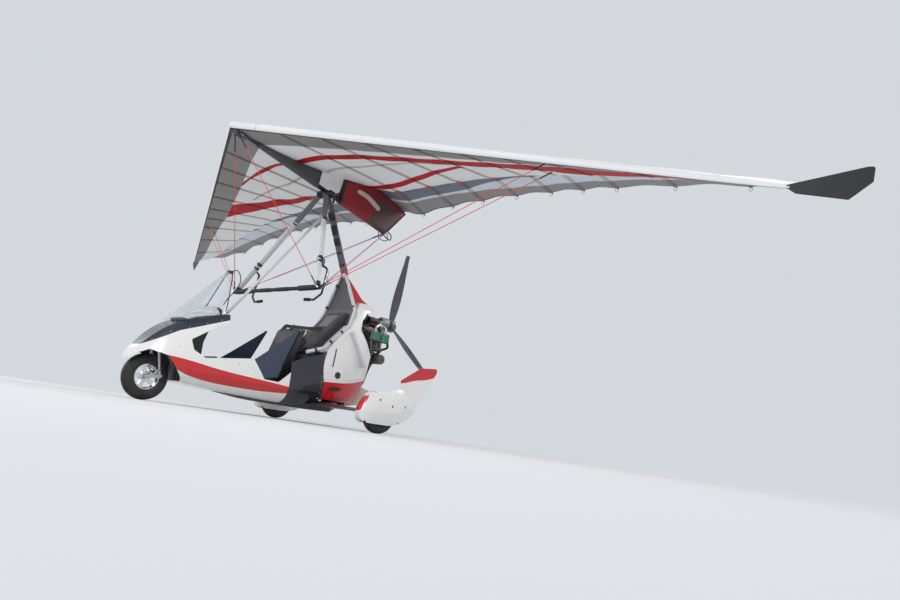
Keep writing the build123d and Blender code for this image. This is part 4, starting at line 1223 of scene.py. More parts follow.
def build_wing_hardware():
    """Nose plate, keel end cap with its cable loop, strap bands on the uprights, corner knuckles and bar grips."""
    metal, soft = Shape(wing), Shape(wing)
    along, down = (wing(*way) - HANG for way in ((0, 1, 0), (0, 0, -1)))
    metal.plate([(x, y, -0.030) for x, y in ((-0.05, -1.30), (0.05, -1.30), (0.075, -1.20), (0.04, -1.12), (-0.04, -1.12),
                                             (-0.075, -1.20))], down * 0.006, "mast_dark", 0.003)
    for x, y in ((-0.03, -1.27), (0.03, -1.27), (0, -1.16), (-0.05, -1.2), (0.05, -1.2)):
        metal.turned((x, y, -0.036), down, (*bolt(0.009, 0.006, 0.0005, 0.005), (0.012, 0.005)), "steel", 8)
    metal.turned((0, 0.852, 0), along, ((0, 0.030), (0.002, 0.0315), (0.022, 0.0315), (0.026, 0.026)), "dark_plastic", 24)
    for side in metal.both():
        elbow, top, foot = metal.at(ELBOW), metal.at(UPRIGHT_TOP), metal.at(UPRIGHT_FOOT)
        metal.turned(elbow - Vector((side * 0.055, 0, 0)), (1, 0, 0),
                     ((0, 0.021), (0.004, 0.0245), (0.060, 0.0245), (0.068, 0.020)), "mast_dark", 20)
        run = (foot - top).normalized()
        metal.turned(foot - run * 0.050, run, ((0, 0.026), (0.003, 0.029), (0.044, 0.029), (0.050, 0.022)), "mast_dark", 20)
        metal.turned(top - run * 0.012, run, ((0, 0.022), (0.003, 0.031), (0.058, 0.031), (0.062, 0.027)), "mast_dark", 20)
        metal.turned(elbow + Vector((0, 0.026, 0)), (0, -1, 0), ((0, 0.008), (0.052, 0.008)), "steel", 10)
    metal.piece("wing_fittings", "wing")
    for side in soft.both():
        top, foot = soft.at(UPRIGHT_TOP), soft.at(UPRIGHT_FOOT)
        run = (foot - top).normalized()
        for share, wide in ((0.31, 0.012), (0.72, 0.028), (0.76, 0.018)):
            soft.turned(top.lerp(foot, share), run, ((0, 0.030), (0.001, 0.0325), (wide, 0.0325), (wide + 0.001, 0.030)),
                        "webbing", 20)
        at = top.lerp(foot, 0.735)
        away = Vector((side, 0.2, 0)).normalized()
        soft.tube([at + away * off + run * down for off, down in ((0.031, 0), (0.055, 0.02), (0.050, 0.09), (0.030, 0.07))],
                  0.008, "webbing", 8, flat=0.4)
        for low, high, big in ((0.05, 0.26, 0.0215), (0.43, 0.70, 0.0275)):
            a, b = (soft.at((x, *ELBOW[1:])) for x in (low, high))
            length = (b - a).length
            soft.turned(a, b - a, ((0, big - 0.007), (0.004, big - 0.001), (0.012, big), (length - 0.012, big),
                                   (length - 0.004, big - 0.001), (length, big - 0.007)), "foam", 24)
    soft.tube([(0.012, 0.83, -0.032), (0.05, 0.88, -0.07), (0.03, 0.96, -0.06), (0.0, 0.985, 0.01), (-0.03, 0.95, 0.045),
               (-0.02, 0.875, 0.02)], 0.0065, "cord_black", 8)
    soft.tube([(-0.012, 0.80, -0.034), (-0.04, 0.86, -0.085), (0.0, 0.94, -0.075), (0.03, 0.90, -0.02),
               (0.012, 0.865, -0.01)], 0.005, "cord_black", 8)
    soft.piece("wing_bands_and_grips", "wing")
    for label, side in SIDES:
        lower = Shape(wing)
        lower.side = side
        lower.tube([(0.612, -0.112, -1.010), (0.617, -0.098, -1.06), (0.620, -0.090, -1.20)], 0.0125, "steel", 14)
        lower.tube([(0.470, -0.094, -1.333), (0.385, -0.096, -1.330)], 0.0165, "foam", 14)
        lower.piece("training_bar_sleeves_" + label, "wing")


def build_hang_fittings():
    """Bolt, four small bolt heads and back-up strap at the hang point."""
    shape, strap = Shape(), Shape(wing)
    shape.turned(PIVOT["wing_pitch"] - Vector((0.062, 0, 0)), (1, 0, 0),
                 ((0, 0.008), (0.001, 0.012), (0.010, 0.012), (0.011, 0.007), (0.113, 0.007), (0.114, 0.012), (0.123, 0.012),
                  (0.124, 0.008)), "steel", 6)
    for side in shape.both():
        for y in (-0.024, 0.024):
            shape.turned(HANG + Vector((side * 0.033, y, 0.002)), (1, 0, 0), bolt(0.007, 0.006, 0.0005, 0.004), "steel", 6)
    shape.piece("hang_bolts", "hang_block")
    for x in (-0.018, 0.018):
        strap.tube([(x, 0.075, 0.034), (x * 1.9, 0.085, 0.0), (x * 2.1, 0.092, -0.030), (x * 1.8, 0.094, -0.052)],
                   0.012, "webbing", 8, flat=0.25)
    strap.tube([(-0.036, 0.085, 0.030), (-0.018, 0.085, 0.038), (0.018, 0.085, 0.038), (0.036, 0.085, 0.030)],
               0.014, "webbing", 8, flat=0.25)
    strap.piece("backup_strap", "wing")


def build_mast_dress():
    """Straps, cable run and rail bands on the mast and the side rails."""
    dress = Shape(trike)
    foot, top = trike(0, -0.046, 1.684), HANG - Vector((0, 0, 0.10))
    run = (top - foot).normalized()
    side = Vector((1, 0, 0))
    depth = run.cross(side).normalized()
    for share, wide in ((0.10, 0.030), (0.28, 0.022), (0.40, 0.080), (0.55, 0.110), (0.75, 0.090)):
        at = foot.lerp(top, share)
        dress.skin([[at + run * rise + side * cos(a) * 0.0275 * s + depth * sin(a) * 0.0405 * s for a in turns(24)]
                    for rise, s in ((0, 0.93), (0.002, 1.0), (wide, 1.0), (wide + 0.002, 0.93))], "webbing")
    for x, finish, size in ((-0.014, "cord_black", 0.006), (0.0, "cord_black", 0.0075), (0.014, "red_sheath", 0.0035)):
        dress.tube([foot.lerp(top, t) + Vector((x + 0.004 * sin(9 * t), 0.043 + 0.003 * sin(14 * t + x * 90), 0))
                    for t in spread(12, -0.02, 0.88)], size, finish, 8)
    for side in dress.both():
        path = [dress.at(p) for p in ((0.030, -0.045, 1.640), (0.262, -0.012, 1.262), (0.292, -0.076, 1.085),
                                      (0.322, -0.380, 0.778), (0.330, -0.590, 0.700))]
        for k, share, wide in ((0, 0.22, 0.030), (0, 0.86, 0.024), (2, 0.30, 0.026), (2, 0.72, 0.030), (3, 0.45, 0.03)):
            dress.turned(path[k].lerp(path[k + 1], share), path[k + 1] - path[k],
                         ((0, 0.0185), (0.001, 0.0205), (wide, 0.0205), (wide + 0.001, 0.0185)), "webbing", 16)
    dress.piece("mast_straps_and_cables", "trike")


def build_mast_panel():
    """Dark cloth panel stretched between the side rails in front of the engine."""
    left = [trike(0.030, -0.045, 1.640), trike(0.262, -0.012, 1.262), trike(0.290, -0.074, 1.085)]
    rows = []
    for up in spread(20, 0, 1):
        edge = left[0].lerp(left[1], up / 0.7) if up < 0.7 else left[1].lerp(left[2], (up - 0.7) / 0.3)
        half = edge.x - 0.006
        rows.append([((half * across, edge.y + 0.016 * (1 - across ** 2) * sin(pi * min(max(up, 0), 1)), edge.z),
                      (across * 0.5 + 0.5, up), (half * across, edge.z)) for across in spread(17, -1, 1)])
    panel, area = cloth_piece(cloth_mesh("mast_panel", rows, ("panel_cloth",), 1), "trike", 0.0016)
    hem = Shape()
    for side in hem.both():
        hem.tube([(p.x - 0.006, p.y, p.z) for p in left], 0.0065, "webbing", 8, bent=False, flat=0.6)
    hem.piece("mast_panel_hems", "trike")


def grooved(data, cuts, depth=0.006, width=0.007):
    """Sewn channels: each cut is (axis direction, a point on it); nearby points move in along their normals."""
    cuts = [(Vector(way), Vector(way).dot(trike(*point))) for way, point in cuts]
    moves = [vert.co - vert.normal * depth * max(2.718 ** -(((vert.co.dot(way) - offset) / width) ** 2)
                                                 for way, offset in cuts) for vert in data.vertices]
    for vert, place in zip(data.vertices, moves):
        vert.co = place
    data.update()


def stuffed(name, outline, half, finish="seat_black", cap=0.010, cuts=()):
    """Cushion from its side outline (y, z from the axle line): blown up as cloth, capped, then sewn."""
    rim = []
    for i, p in enumerate(outline):
        a, b, c = Vector(outline[i - 1]), Vector(p), Vector(outline[(i + 1) % len(outline)])
        rim += [b.lerp(a, 0.22), b.lerp(a, 0.06).lerp(b.lerp(c, 0.06), 0.5), b.lerp(c, 0.22)]
    middle = sum(rim, Vector((0, 0))) / len(rim)
    shape = Shape(trike)
    shape.skin([[(half * t, *p.lerp(middle, 0.10 * abs(t) ** 8)) for p in rim]
                for t in (-1, -0.97, -0.9, -0.7, -0.4, 0, 0.4, 0.7, 0.9, 0.97, 1)], finish)
    made = shape.piece(name, "trike")
    grid = made.modifiers.new("grid", "REMESH")
    grid.mode = "VOXEL"
    grid.voxel_size = 0.006
    grid.use_smooth_shade = True
    settled(made)
    rest = [vert.co.copy() for vert in made.data.vertices]
    cloth = made.modifiers.new("cloth", "CLOTH")
    cloth.settings.use_pressure = True
    cloth.settings.uniform_pressure_force = 4
    cloth.settings.effector_weights.gravity = 0
    for frame_number in range(1, 21):
        bpy.context.scene.frame_set(frame_number)
    settled(made)
    for vert, start in zip(made.data.vertices, rest):
        move = vert.co - start
        if move.length > cap:
            vert.co = start + move * (cap / move.length)
    bpy.context.scene.frame_set(1)
    made.data.update()
    if cuts:
        grooved(made.data, cuts)
    finer = made.modifiers.new("finer", "SUBSURF")
    finer.levels = finer.render_levels = 1
    settled(made)
    made.data.shade_smooth()
    made.data.materials.clear()
    made.data.materials.append(MAT[finish])
    return made


def build_seats():
    """Front seat of two pads on a moulded shell with belts; long leaning rear seat with a grey middle."""
    lean = Vector((0, 0.30, 0.954)).normalized()
    slope = (0, 0.6, 0.8)
    front = stuffed("front_seat_base", [(-1.145, 0.318), (-0.82, 0.300), (-0.79, 0.330), (-0.80, 0.405), (-0.87, 0.398),
                                        (-1.135, 0.402)], 0.192, cuts=[((0, 1, 0), (0, -1.03, 0)), ((0, 1, 0), (0, -0.93, 0))])
    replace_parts(front, "front_seat")
    stuffed("front_seat_back", [(-0.785, 0.430), (-0.715, 0.420), (-0.578, 0.925), (-0.630, 0.945)], 0.190,
            cuts=[(lean, (0, -0.72, 0.60)), (lean, (0, -0.68, 0.75))])
    shell, belts = Shape(trike), Shape(trike)
    for side in shell.both():
        shell.plate([(0.196, y, z) for y, z in ((-1.150, 0.300), (-0.800, 0.278), (-0.700, 0.332), (-0.566, 0.920),
                                                (-0.600, 0.925), (-0.760, 0.470), (-0.850, 0.352), (-1.140, 0.340))],
                    Vector((side * 0.007, 0, 0)), "dark_plastic", 0.002)
    shell.skin([((-0.2, y, z), (0.2, y, z), (0.2, y - 0.010, z + 0.006), (-0.2, y - 0.010, z + 0.006)) for y, z in (
        (-1.150, 0.298), (-0.800, 0.276), (-0.735, 0.306), (-0.698, 0.345), (-0.556, 0.935))], "dark_plastic", smooth=False)
    shell.piece("front_seat_shell", "trike")
    rear = stuffed("rear_seat_back", [(-0.405, 0.620), (-0.345, 0.700), (-0.150, 0.955), (0.016, 1.195), (0.000, 1.248),
                                      (-0.050, 1.224), (-0.245, 0.985), (-0.430, 0.745)], 0.198,
                   cuts=[(slope, (0, -0.30, 0.86)), (slope, (0, -0.17, 1.03)), (slope, (0, -0.06, 1.17))])
    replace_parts(rear, "rear_seat")
    stuffed("rear_seat_panel", [(-0.395, 0.775), (-0.375, 0.765), (-0.060, 1.190), (-0.085, 1.205)], 0.105, "seat_grey",
            0.006, [(slope, (0, -0.24, 0.96))])
    stuffed("rear_seat_base", [(-0.510, 0.575), (-0.425, 0.560), (-0.385, 0.620), (-0.425, 0.690), (-0.505, 0.660)], 0.190)
    stuffed("head_pad", [(-0.700, 0.640), (-0.640, 0.625), (-0.475, 0.800), (-0.470, 0.868), (-0.530, 0.872),
                         (-0.690, 0.700)], 0.150)
    for side in belts.both():
        for line, width in (
                (((0.075, -0.655, 0.900), (0.072, -0.615, 0.958), (0.062, -0.560, 0.965), (0.040, -0.300, 1.000),
                  (0.022, -0.075, 1.055)), 0.021),
                (((0.165, -0.800, 0.440), (0.150, -0.880, 0.440), (0.060, -0.960, 0.425), (0.010, -0.985, 0.420)), 0.021),
                (((0.150, -0.410, 0.745), (0.145, -0.455, 0.720), (0.050, -0.490, 0.705), (0.008, -0.500, 0.700)), 0.019)):
            belts.tube(line, width, "webbing", 8, flat=0.10)
    belts.block((-0.030, -1.010, 0.412), (0.030, -0.955, 0.430), "steel")
    belts.block((-0.028, -0.520, 0.692), (0.028, -0.480, 0.706), "steel")
    belts.piece("seat_belts", "trike")


def build_cylinder(core, y):
    """One finned cylinder with its head, cover, plug lead, exhaust and intake pipe."""
    profile = [(0.088, 0.030), (0.090, 0.047)]
    for d in (0.096 + 0.0115 * k for k in range(9)):
        profile += [(d, 0.047), (d + 0.001, 0.061), (d + 0.0035, 0.061), (d + 0.0045, 0.047)]
    core.turned((0, y, 1.055), (1, 0, 0), profile + [(0.204, 0.047), (0.205, 0.020)], "cast", 24)
    core.block((0.200, y - 0.060, 0.998), (0.252, y + 0.060, 1.110), "cast", 0.008)
    for z in spread(5, 1.006, 1.100):
        core.block((0.199, y - 0.064, z - 0.0015), (0.253, y + 0.064, z + 0.0015), "cast", 0.001)
    core.block((0.250, y - 0.056, 1.000), (0.283, y + 0.056, 1.098), "green_cover", 0.012, 0.004)
    for dy in (-0.04, 0.04):
        for z in (1.012, 1.086):
            core.turned((0.282, y + dy, z), (1, 0, 0), bolt(0.006, 0.004, 0.001, 0.003), "steel", 6)
    core.turned((0.228, y, 1.106), (0, 0, 1), ((0, 0.010), (0.014, 0.010), (0.016, 0.006), (0.034, 0.006)), "pale_plastic", 12)
    core.tube([(0.228, y, 1.136), (0.215, y, 1.175), (0.130, y - 0.01, 1.20), (0.060, y + 0.03, 1.19)], 0.0042,
              "red_sheath" if y < 0.4 else "cord_black", 8)
    core.tube([(0.226, y - 0.03, 1.000), (0.222, y - 0.028, 0.955), (0.190, y + 0.01, 0.900), (0.120, 0.50, 0.860),
               (0.080, 0.525, 0.835)], 0.0165, "exhaust", 14)
    core.tube([(0.212, y + 0.02, 1.108), (0.205, y + 0.03, 1.160), (0.165, 0.46, 1.205), (0.120, 0.50, 1.225)], 0.017,
              "alloy", 14)


def build_engine():
    """Flat four with finned cylinders, green covers, carburettors, exhaust, hoses and leads."""
    core = Shape(trike)
    core.block((-0.096, 0.112, 0.935), (0.096, 0.585, 1.105), "cast", 0.014, 0.010)
    core.block((-0.070, 0.130, 1.095), (0.070, 0.560, 1.165), "cast", 0.010, 0.012)
    core.turned((0, 0.560, 1.125), (0, 1, 0), ((0, 0.085), (0.02, 0.092), (0.04, 0.080), (0.045, 0.060)), "cast")
    for y in spread(9, 0.15, 0.55):
        core.block((-0.102, y - 0.003, 0.95), (0.102, y + 0.003, 1.10), "cast", 0.001)
    core.turned((0.04, 0.100, 1.06), (0, -1, 0), ((0, 0.055), (0.05, 0.055), (0.056, 0.046)), "dark_plastic", 24)
    core.turned((-0.065, 0.46, 0.955), (0, 1, 0), ((0, 0.034), (0.10, 0.034), (0.105, 0.028)), "steel", 20)
    for side in core.both():
        for y in (0.345, 0.485):
            build_cylinder(core, y)
        for at, axis, profile, finish, sides in (
                ((0.118, 0.440, 1.238), (0, 1, 0), ((0, 0.022), (0.012, 0.026), (0.05, 0.028), (0.055, 0.034), (0.085, 0.034),
                                                    (0.09, 0.026), (0.11, 0.026)), "cast", 20),
                ((0.118, 0.498, 1.262), (0, 0, 1), ((0, 0.026), (0.02, 0.028), (0.03, 0.018), (0.036, 0.010)),
                 "dark_plastic", 20),
                ((0.118, 0.498, 1.214), (0, 0, -1), ((0, 0.024), (0.03, 0.023), (0.036, 0.014)), "alloy", 20),
                ((0.118, 0.386, 1.238), (0, 1, 0), ((-0.07, 0.030), (-0.068, 0.036), (0.0, 0.042), (0.004, 0.036),
                                                    (0.055, 0.024)), "dark_plastic", 28)):
            core.turned(at, axis, profile, finish, sides)
        core.tube([(0.100, 0.20, 1.09), (0.15, 0.17, 1.12), (0.22, 0.20, 1.10), (0.235, 0.285, 1.075)], 0.012, "hose", 12)
        core.tube([(0.23, 0.55, 1.02), (0.21, 0.58, 0.96), (0.14, 0.53, 0.90), (0.09, 0.46, 0.70), (0.07, 0.42, 0.52),
                   (0.06, 0.352, 0.445)], 0.0135, "hose", 12)
    core.turned((-0.215, 0.525, 0.815), (1, 0, 0), ((0, 0.030), (0.006, 0.052), (0.014, 0.056), (0.416, 0.056),
                                                    (0.424, 0.052), (0.43, 0.030)), "exhaust")
    core.tube([(-0.16, 0.545, 0.775), (-0.17, 0.575, 0.735), (-0.172, 0.625, 0.722)], 0.018, "exhaust", 14)
    core.block((-0.120, 0.175, 1.205), (0.120, 0.360, 1.300), "dark_plastic", 0.020, 0.012)
    core.block((-0.150, 0.300, 0.700), (0.150, 0.440, 0.905), "dark_plastic", 0.012, 0.010)
    for z in spread(7, 0.725, 0.885):
        core.block((-0.153, 0.297, z - 0.002), (0.153, 0.443, z + 0.002), "cast", 0.001)
    core.block((-0.058, 0.475, 1.185), (0.058, 0.590, 1.292), "dark_plastic", 0.008, 0.004)
    for x in (-0.036, 0.0, 0.036):
        core.block((x - 0.012, 0.470, 1.205), (x + 0.012, 0.478, 1.27), "alloy", 0.002)
    core.turned((-0.182, 0.205, 0.960), (0, 0, 1), ((0, 0.040), (0.006, 0.048), (0.18, 0.048), (0.19, 0.040), (0.195, 0.020),
                                                    (0.215, 0.020)), "alloy", 24)
    core.turned((0.150, 0.150, 1.165), (0, 0, 1), ((0, 0.03), (0.004, 0.036), (0.05, 0.036), (0.055, 0.028), (0.06, 0.018),
                                                   (0.072, 0.018)), "pale_plastic", 22)
    for size, *line in ((0.008, (-0.05, 0.13, 1.14), (-0.09, 0.10, 1.18), (-0.16, 0.14, 1.19), (-0.182, 0.205, 1.16)),
                        (0.007, (0.15, 0.15, 1.165), (0.13, 0.20, 1.14), (0.09, 0.30, 1.185), (0.05, 0.44, 1.215)),
                        (0.004, (0.06, 0.20, 1.170), (0.10, 0.33, 1.205), (0.16, 0.43, 1.245), (0.14, 0.47, 1.25)),
                        (0.004, (-0.06, 0.20, 1.170), (-0.10, 0.33, 1.205), (-0.16, 0.43, 1.245), (-0.14, 0.47, 1.25)),
                        (0.006, (-0.02, 0.11, 1.10), (-0.05, 0.02, 1.05), (-0.05, -0.10, 0.99), (-0.06, -0.18, 0.93))):
        core.tube(line, size, "hose", 10)
    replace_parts(core.piece("engine", "trike", 32), "engine_block")


def dial(shape, at, way, radius):
    """Round instrument: bezel, dark face, pointer and graduation marks."""
    at = shape.at(at)
    shape.turned(at, way, ((0, radius * 1.05), (0.008, radius * 1.05), (0.0085, radius), (0.004, radius * 0.97)),
                 "dark_plastic")
    shape.turned(at, way, ((0, radius * 0.96), (0.0042, radius * 0.96)), "dial_face")
    side = way.orthogonal().normalized()
    up = way.cross(side)
    for k in range(10):
        a = radians(-130 + 29 * k)
        ray = side * cos(a) + up * sin(a)
        shape.tube([at + way * 0.0046 + ray * radius * share for share in (0.74, 0.90)], 0.0006, "plain_white", 4)
    middle = at + way * 0.0055
    shape.tube([middle, middle + (side * 0.3 + up * 0.9) * radius * 0.72], [0.0012, 0.0005], "plain_white", 6)


def build_cockpit():
    """Instrument panel and dials, foot bar, throttle levers, steering console, screen trim."""
    panel, inside, pegs, trim = Shape(trike), Shape(trike), Shape(trike), Shape(trike)
    y = -1.500
    panel.plate([(x, y, z) for x, z in ((-0.150, 0.800), (0.150, 0.800), (0.172, 0.860), (0.150, 0.925), (0.075, 0.950),
                                        (-0.075, 0.950), (-0.150, 0.925), (-0.172, 0.860))],
                Vector((0, 0.010, 0)), "dark_plastic", 0.003)
    panel.block((-0.058, y + 0.010, 0.832), (0.058, y + 0.016, 0.922), "dial_face", 0.003)
    for x in (-0.108, 0.108):
        dial(panel, (x, y + 0.010, 0.876), Vector((0, 1, 0)), 0.034)
    for x in spread(6, -0.06, 0.06):
        panel.turned((x, y + 0.010, 0.815), (0, 1, 0), (*bolt(0.006, 0.003, 0.0005, 0.003), (0.016, 0.0025)), "steel", 10)
    panel.piece("instrument_panel", "trike")
    inside.skin([[(x * w, y + dy * d, z) for x, dy in ((-1, -1), (-0.8, -1.1), (0.8, -1.1), (1, -1), (1, 1), (0.8, 1.1),
                                                      (-0.8, 1.1), (-1, 1))]
                 for z, y, w, d in ((0.215, -1.672, 0.105, 0.095), (0.40, -1.672, 0.098, 0.095), (0.60, -1.672, 0.088, 0.095),
                                    (0.74, -1.69, 0.105, 0.14), (0.775, -1.69, 0.120, 0.15))], "dark_plastic", smooth=False)
    inside.tube([(-0.190, -1.30, 0.250), (-0.190, -1.26, 0.40), (-0.192, -1.20, 0.46)], [0.009, 0.009, 0.013], "mast_dark")
    inside.tube([(0.175, -1.02, 0.300), (0.185, -1.05, 0.42), (0.188, -1.08, 0.47)], [0.008, 0.008, 0.014], "dark_plastic")
    inside.block((0.160, -1.10, 0.215), (0.205, -0.96, 0.300), "dark_plastic", 0.006)
    inside.block((-0.205, -1.36, 0.205), (-0.165, -1.22, 0.262), "dark_plastic", 0.006)
    inside.piece("hand_levers", "trike")
    pegs.tube([(-0.175, -1.966, 0.500), (0.175, -1.966, 0.500)], 0.013, "alloy", 16)
    for side in pegs.both():
        pegs.tube([(0.085, -1.966, 0.500), (0.172, -1.966, 0.500)], 0.0185, "foam", 16)
    pegs.piece("foot_bar", "fork")
    points = [vert.co.copy() for vert in NODES["windscreen"].data.vertices]
    for side in (1, -1):
        line = []
        for z in spread(13, 0.90, 1.32):
            near = [p for p in points if abs(p.z - z) < 0.022 and p.x * side > -0.002]
            if near:
                line.append(max(near, key=lambda p: p.y))
        trim.tube(line, 0.0055, "dark_plastic", 8)
    top = sorted((p for p in points if p.z > 1.318), key=lambda p: p.x)
    if len(top) > 4:
        trim.tube([top[0], (0, -1.434, 1.331), top[-1]], 0.0055, "dark_plastic", 8)
    trim.tube([(0.030, -1.425, 1.325), (0.060, -1.365, 1.345), (0.075, -1.325, 1.270), (0.072, -1.345, 1.17),
               (0.085, -1.42, 1.06), (0.13, -1.48, 0.98)], 0.0045, "cord_black", 8)
    trim.turned((0, -1.402, 1.325), (0, 1, 0.1), ((-0.02, 0.012), (-0.018, 0.018), (0.02, 0.018), (0.024, 0.010)),
                "dark_plastic", 16)
    trim.piece("screen_trim", "trike")


def hits(node, *spots):
    """Where rays along x from outside meet a CAD node, as (point, facing) pairs; None where one meets nothing.

    Each spot is x of the start, x of the aim, y and z from the axle line."""
    mesh = bmesh.new()
    mesh.from_mesh(NODES[node].data)
    bmesh.ops.remove_doubles(mesh, verts=mesh.verts, dist=1e-6)
    tree = BVHTree.FromBMesh(mesh)
    mesh.free()
    found = []
    for start, aim, y, z in spots:
        way = (trike(aim, y, z) - trike(start, y, z)).normalized()
        at, normal, index, distance = tree.ray_cast(trike(start, y, z), way)
        found.append(None if at is None else (at, normal if normal.dot(way) < 0 else -normal))
    return found


def on_both(node, spots, start=1.2, aim=0.0):
    """Hits of (y, z) spots on each side in turn."""
    spots = list(spots)
    found = hits(node, *[(side * start, side * aim, y, z) for side in (1, -1) for y, z in spots])
    return found[:len(spots)], found[len(spots):]


def build_skin_details():
    """Caps, slots, inlet, brace plate and steps on the cowl, pod and spats; fasteners on every panel edge."""
    details = Shape()
    eighths = spread(8, 0, 1)
    caps = on_both("rear_cowl", ((-0.183, 0.527), (0.020, 0.700)))
    strips = [on_both("rear_cowl", spots) for spots in (
        [(-0.262 + 0.003 * k, 0.60 + 0.022 * k) for k in range(10)],
        [(-0.300 + 0.002 * k, 0.500 + 0.026 * k) for k in range(12)],
        [(-0.060 + 0.260 * t, 0.470 + 0.050 * t) for t in spread(7, 0, 1)],
        [(-0.040 + 0.255 * t, 0.500 + 0.052 * t) for t in spread(7, 0, 1)])]
    inlets = on_both("rear_cowl", ((-0.270, 0.380), (-0.219, 0.398), (-0.140, 0.405), (-0.100, 0.392), (-0.150, 0.368),
                                   (-0.225, 0.362)))
    brace_shares = spread(12, -0.02, 1.04)
    braces = on_both("rear_cowl", [(-0.058 + 0.208 * t, 1.0 - 0.31 * t) for t in brace_shares])
    screws = []
    for k, side in enumerate((1, -1)):
        for found, r, finish in zip(caps[k], (0.036, 0.018), ("dark_plastic", "plain_white")):
            if found:
                at, way = found
                details.turned(at - way * 0.002, way, ((0, r * 1.02), (0.004, r), (0.007, r * 0.9), (0.0075, r * 0.74),
                                                       (0.004, r * 0.70)), finish)
        for strip, look in zip(strips, ((0.014, 0.0022, "dark_plastic"), (0.020, 0.0018, "plain_white"),
                                        (0.007, 0.005, "cowl_white"), (0.007, 0.005, "cowl_white"))):
            if all(strip[k]):
                details.strap(strip[k], *look)
        if all(inlets[k]):
            details.plate([at + way * 0.0015 for at, way in inlets[k]], Vector((side * 0.0025, 0, 0)), "dark_plastic", 0.0008)
        brace = [(spot, t) for spot, t in zip(braces[k], brace_shares) if spot]
        if len(brace) > 2:
            rises = [max(0.344 + 0.028 * t + 0.0135 - abs(at.x), 0.010) for (at, way), t in brace]
            details.strap([spot for spot, t in brace], [0.034 + 0.030 * i / len(brace) for i in range(len(brace))], rises,
                          "light_tube")
            screws += [(at + way * rise, way) for ((at, way), t), rise in list(zip(brace, rises))[1::3]]
    for node, rows in (
            ("rear_cowl", [(-0.315 + 0.26 * t * t, 0.46 + 0.55 * t) for t in eighths]),
            ("rear_cowl", [(-0.31 + 0.55 * t, 0.300 + 0.02 * t) for t in eighths]),
            ("front_pod", [(-2.02 + 0.98 * t, 0.520 - 0.10 * t) for t in eighths]),
            ("centre_tub", [(-0.355, 0.26 + 0.40 * t) for t in eighths]),
            ("radiator_duct", [(0.12 + 0.30 * t, z) for t in spread(7, 0, 1) for z in (0.272, 0.375)])):
        screws += sum(on_both(node, rows), [])
    deck_edge = ((-2.08, 0.530), (-1.95, 0.625), (-1.80, 0.695), (-1.65, 0.760), (-1.52, 0.820))
    screws += sum(on_both("nose_deck", deck_edge, 0.6), [])
    for k, (label, side) in enumerate(SIDES):
        for found in on_both("spat_" + label, ((0.090, 0.285), (-0.080, 0.330), (0.300, 0.300)), 1.4, 0.5)[k]:
            if found:
                details.turned(found[0] - found[1] * 0.001, found[1], ((0, 0.011), (0.002, 0.011), (0.003, 0.009),
                                                                       (0.0032, 0.006), (0.001, 0.005)), "dark_plastic", 18)
        crease = on_both("spat_" + label, ((0.150, 0.430), (0.200, 0.408), (0.260, 0.375), (0.332, 0.330), (0.380, 0.285),
                                           (0.418, 0.245)), 1.4, 0.6)[k]
        if all(crease):
            details.strap(crease, 0.006, 0.0012, "spat_white")
    details.piece("panel_details", "trike")
    heads("panel_screws", screws, "trike", "steel", 0.0055, 0.0022)


def build_radiator():
    """Fins and tubes of the radiator core."""
    core = Shape()
    low, high = (Vector(corner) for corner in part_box("radiator"))
    front, back = low.y - 0.002, high.y + 0.002
    for z in spread(9, low.z + 0.012, high.z - 0.012):
        core.block((low.x + 0.006, front, z - 0.003), (high.x - 0.006, back, z + 0.003), "alloy", 0.001)
    core.piece("radiator_tubes", "trike")
    bars("radiator_fins", [((x, y, low.z + 0.008), (x, y, high.z - 0.008))
                           for x in spread(120, low.x + 0.008, high.x - 0.008) for y in (front, back)], "trike", "cast", 0.0007, 4)


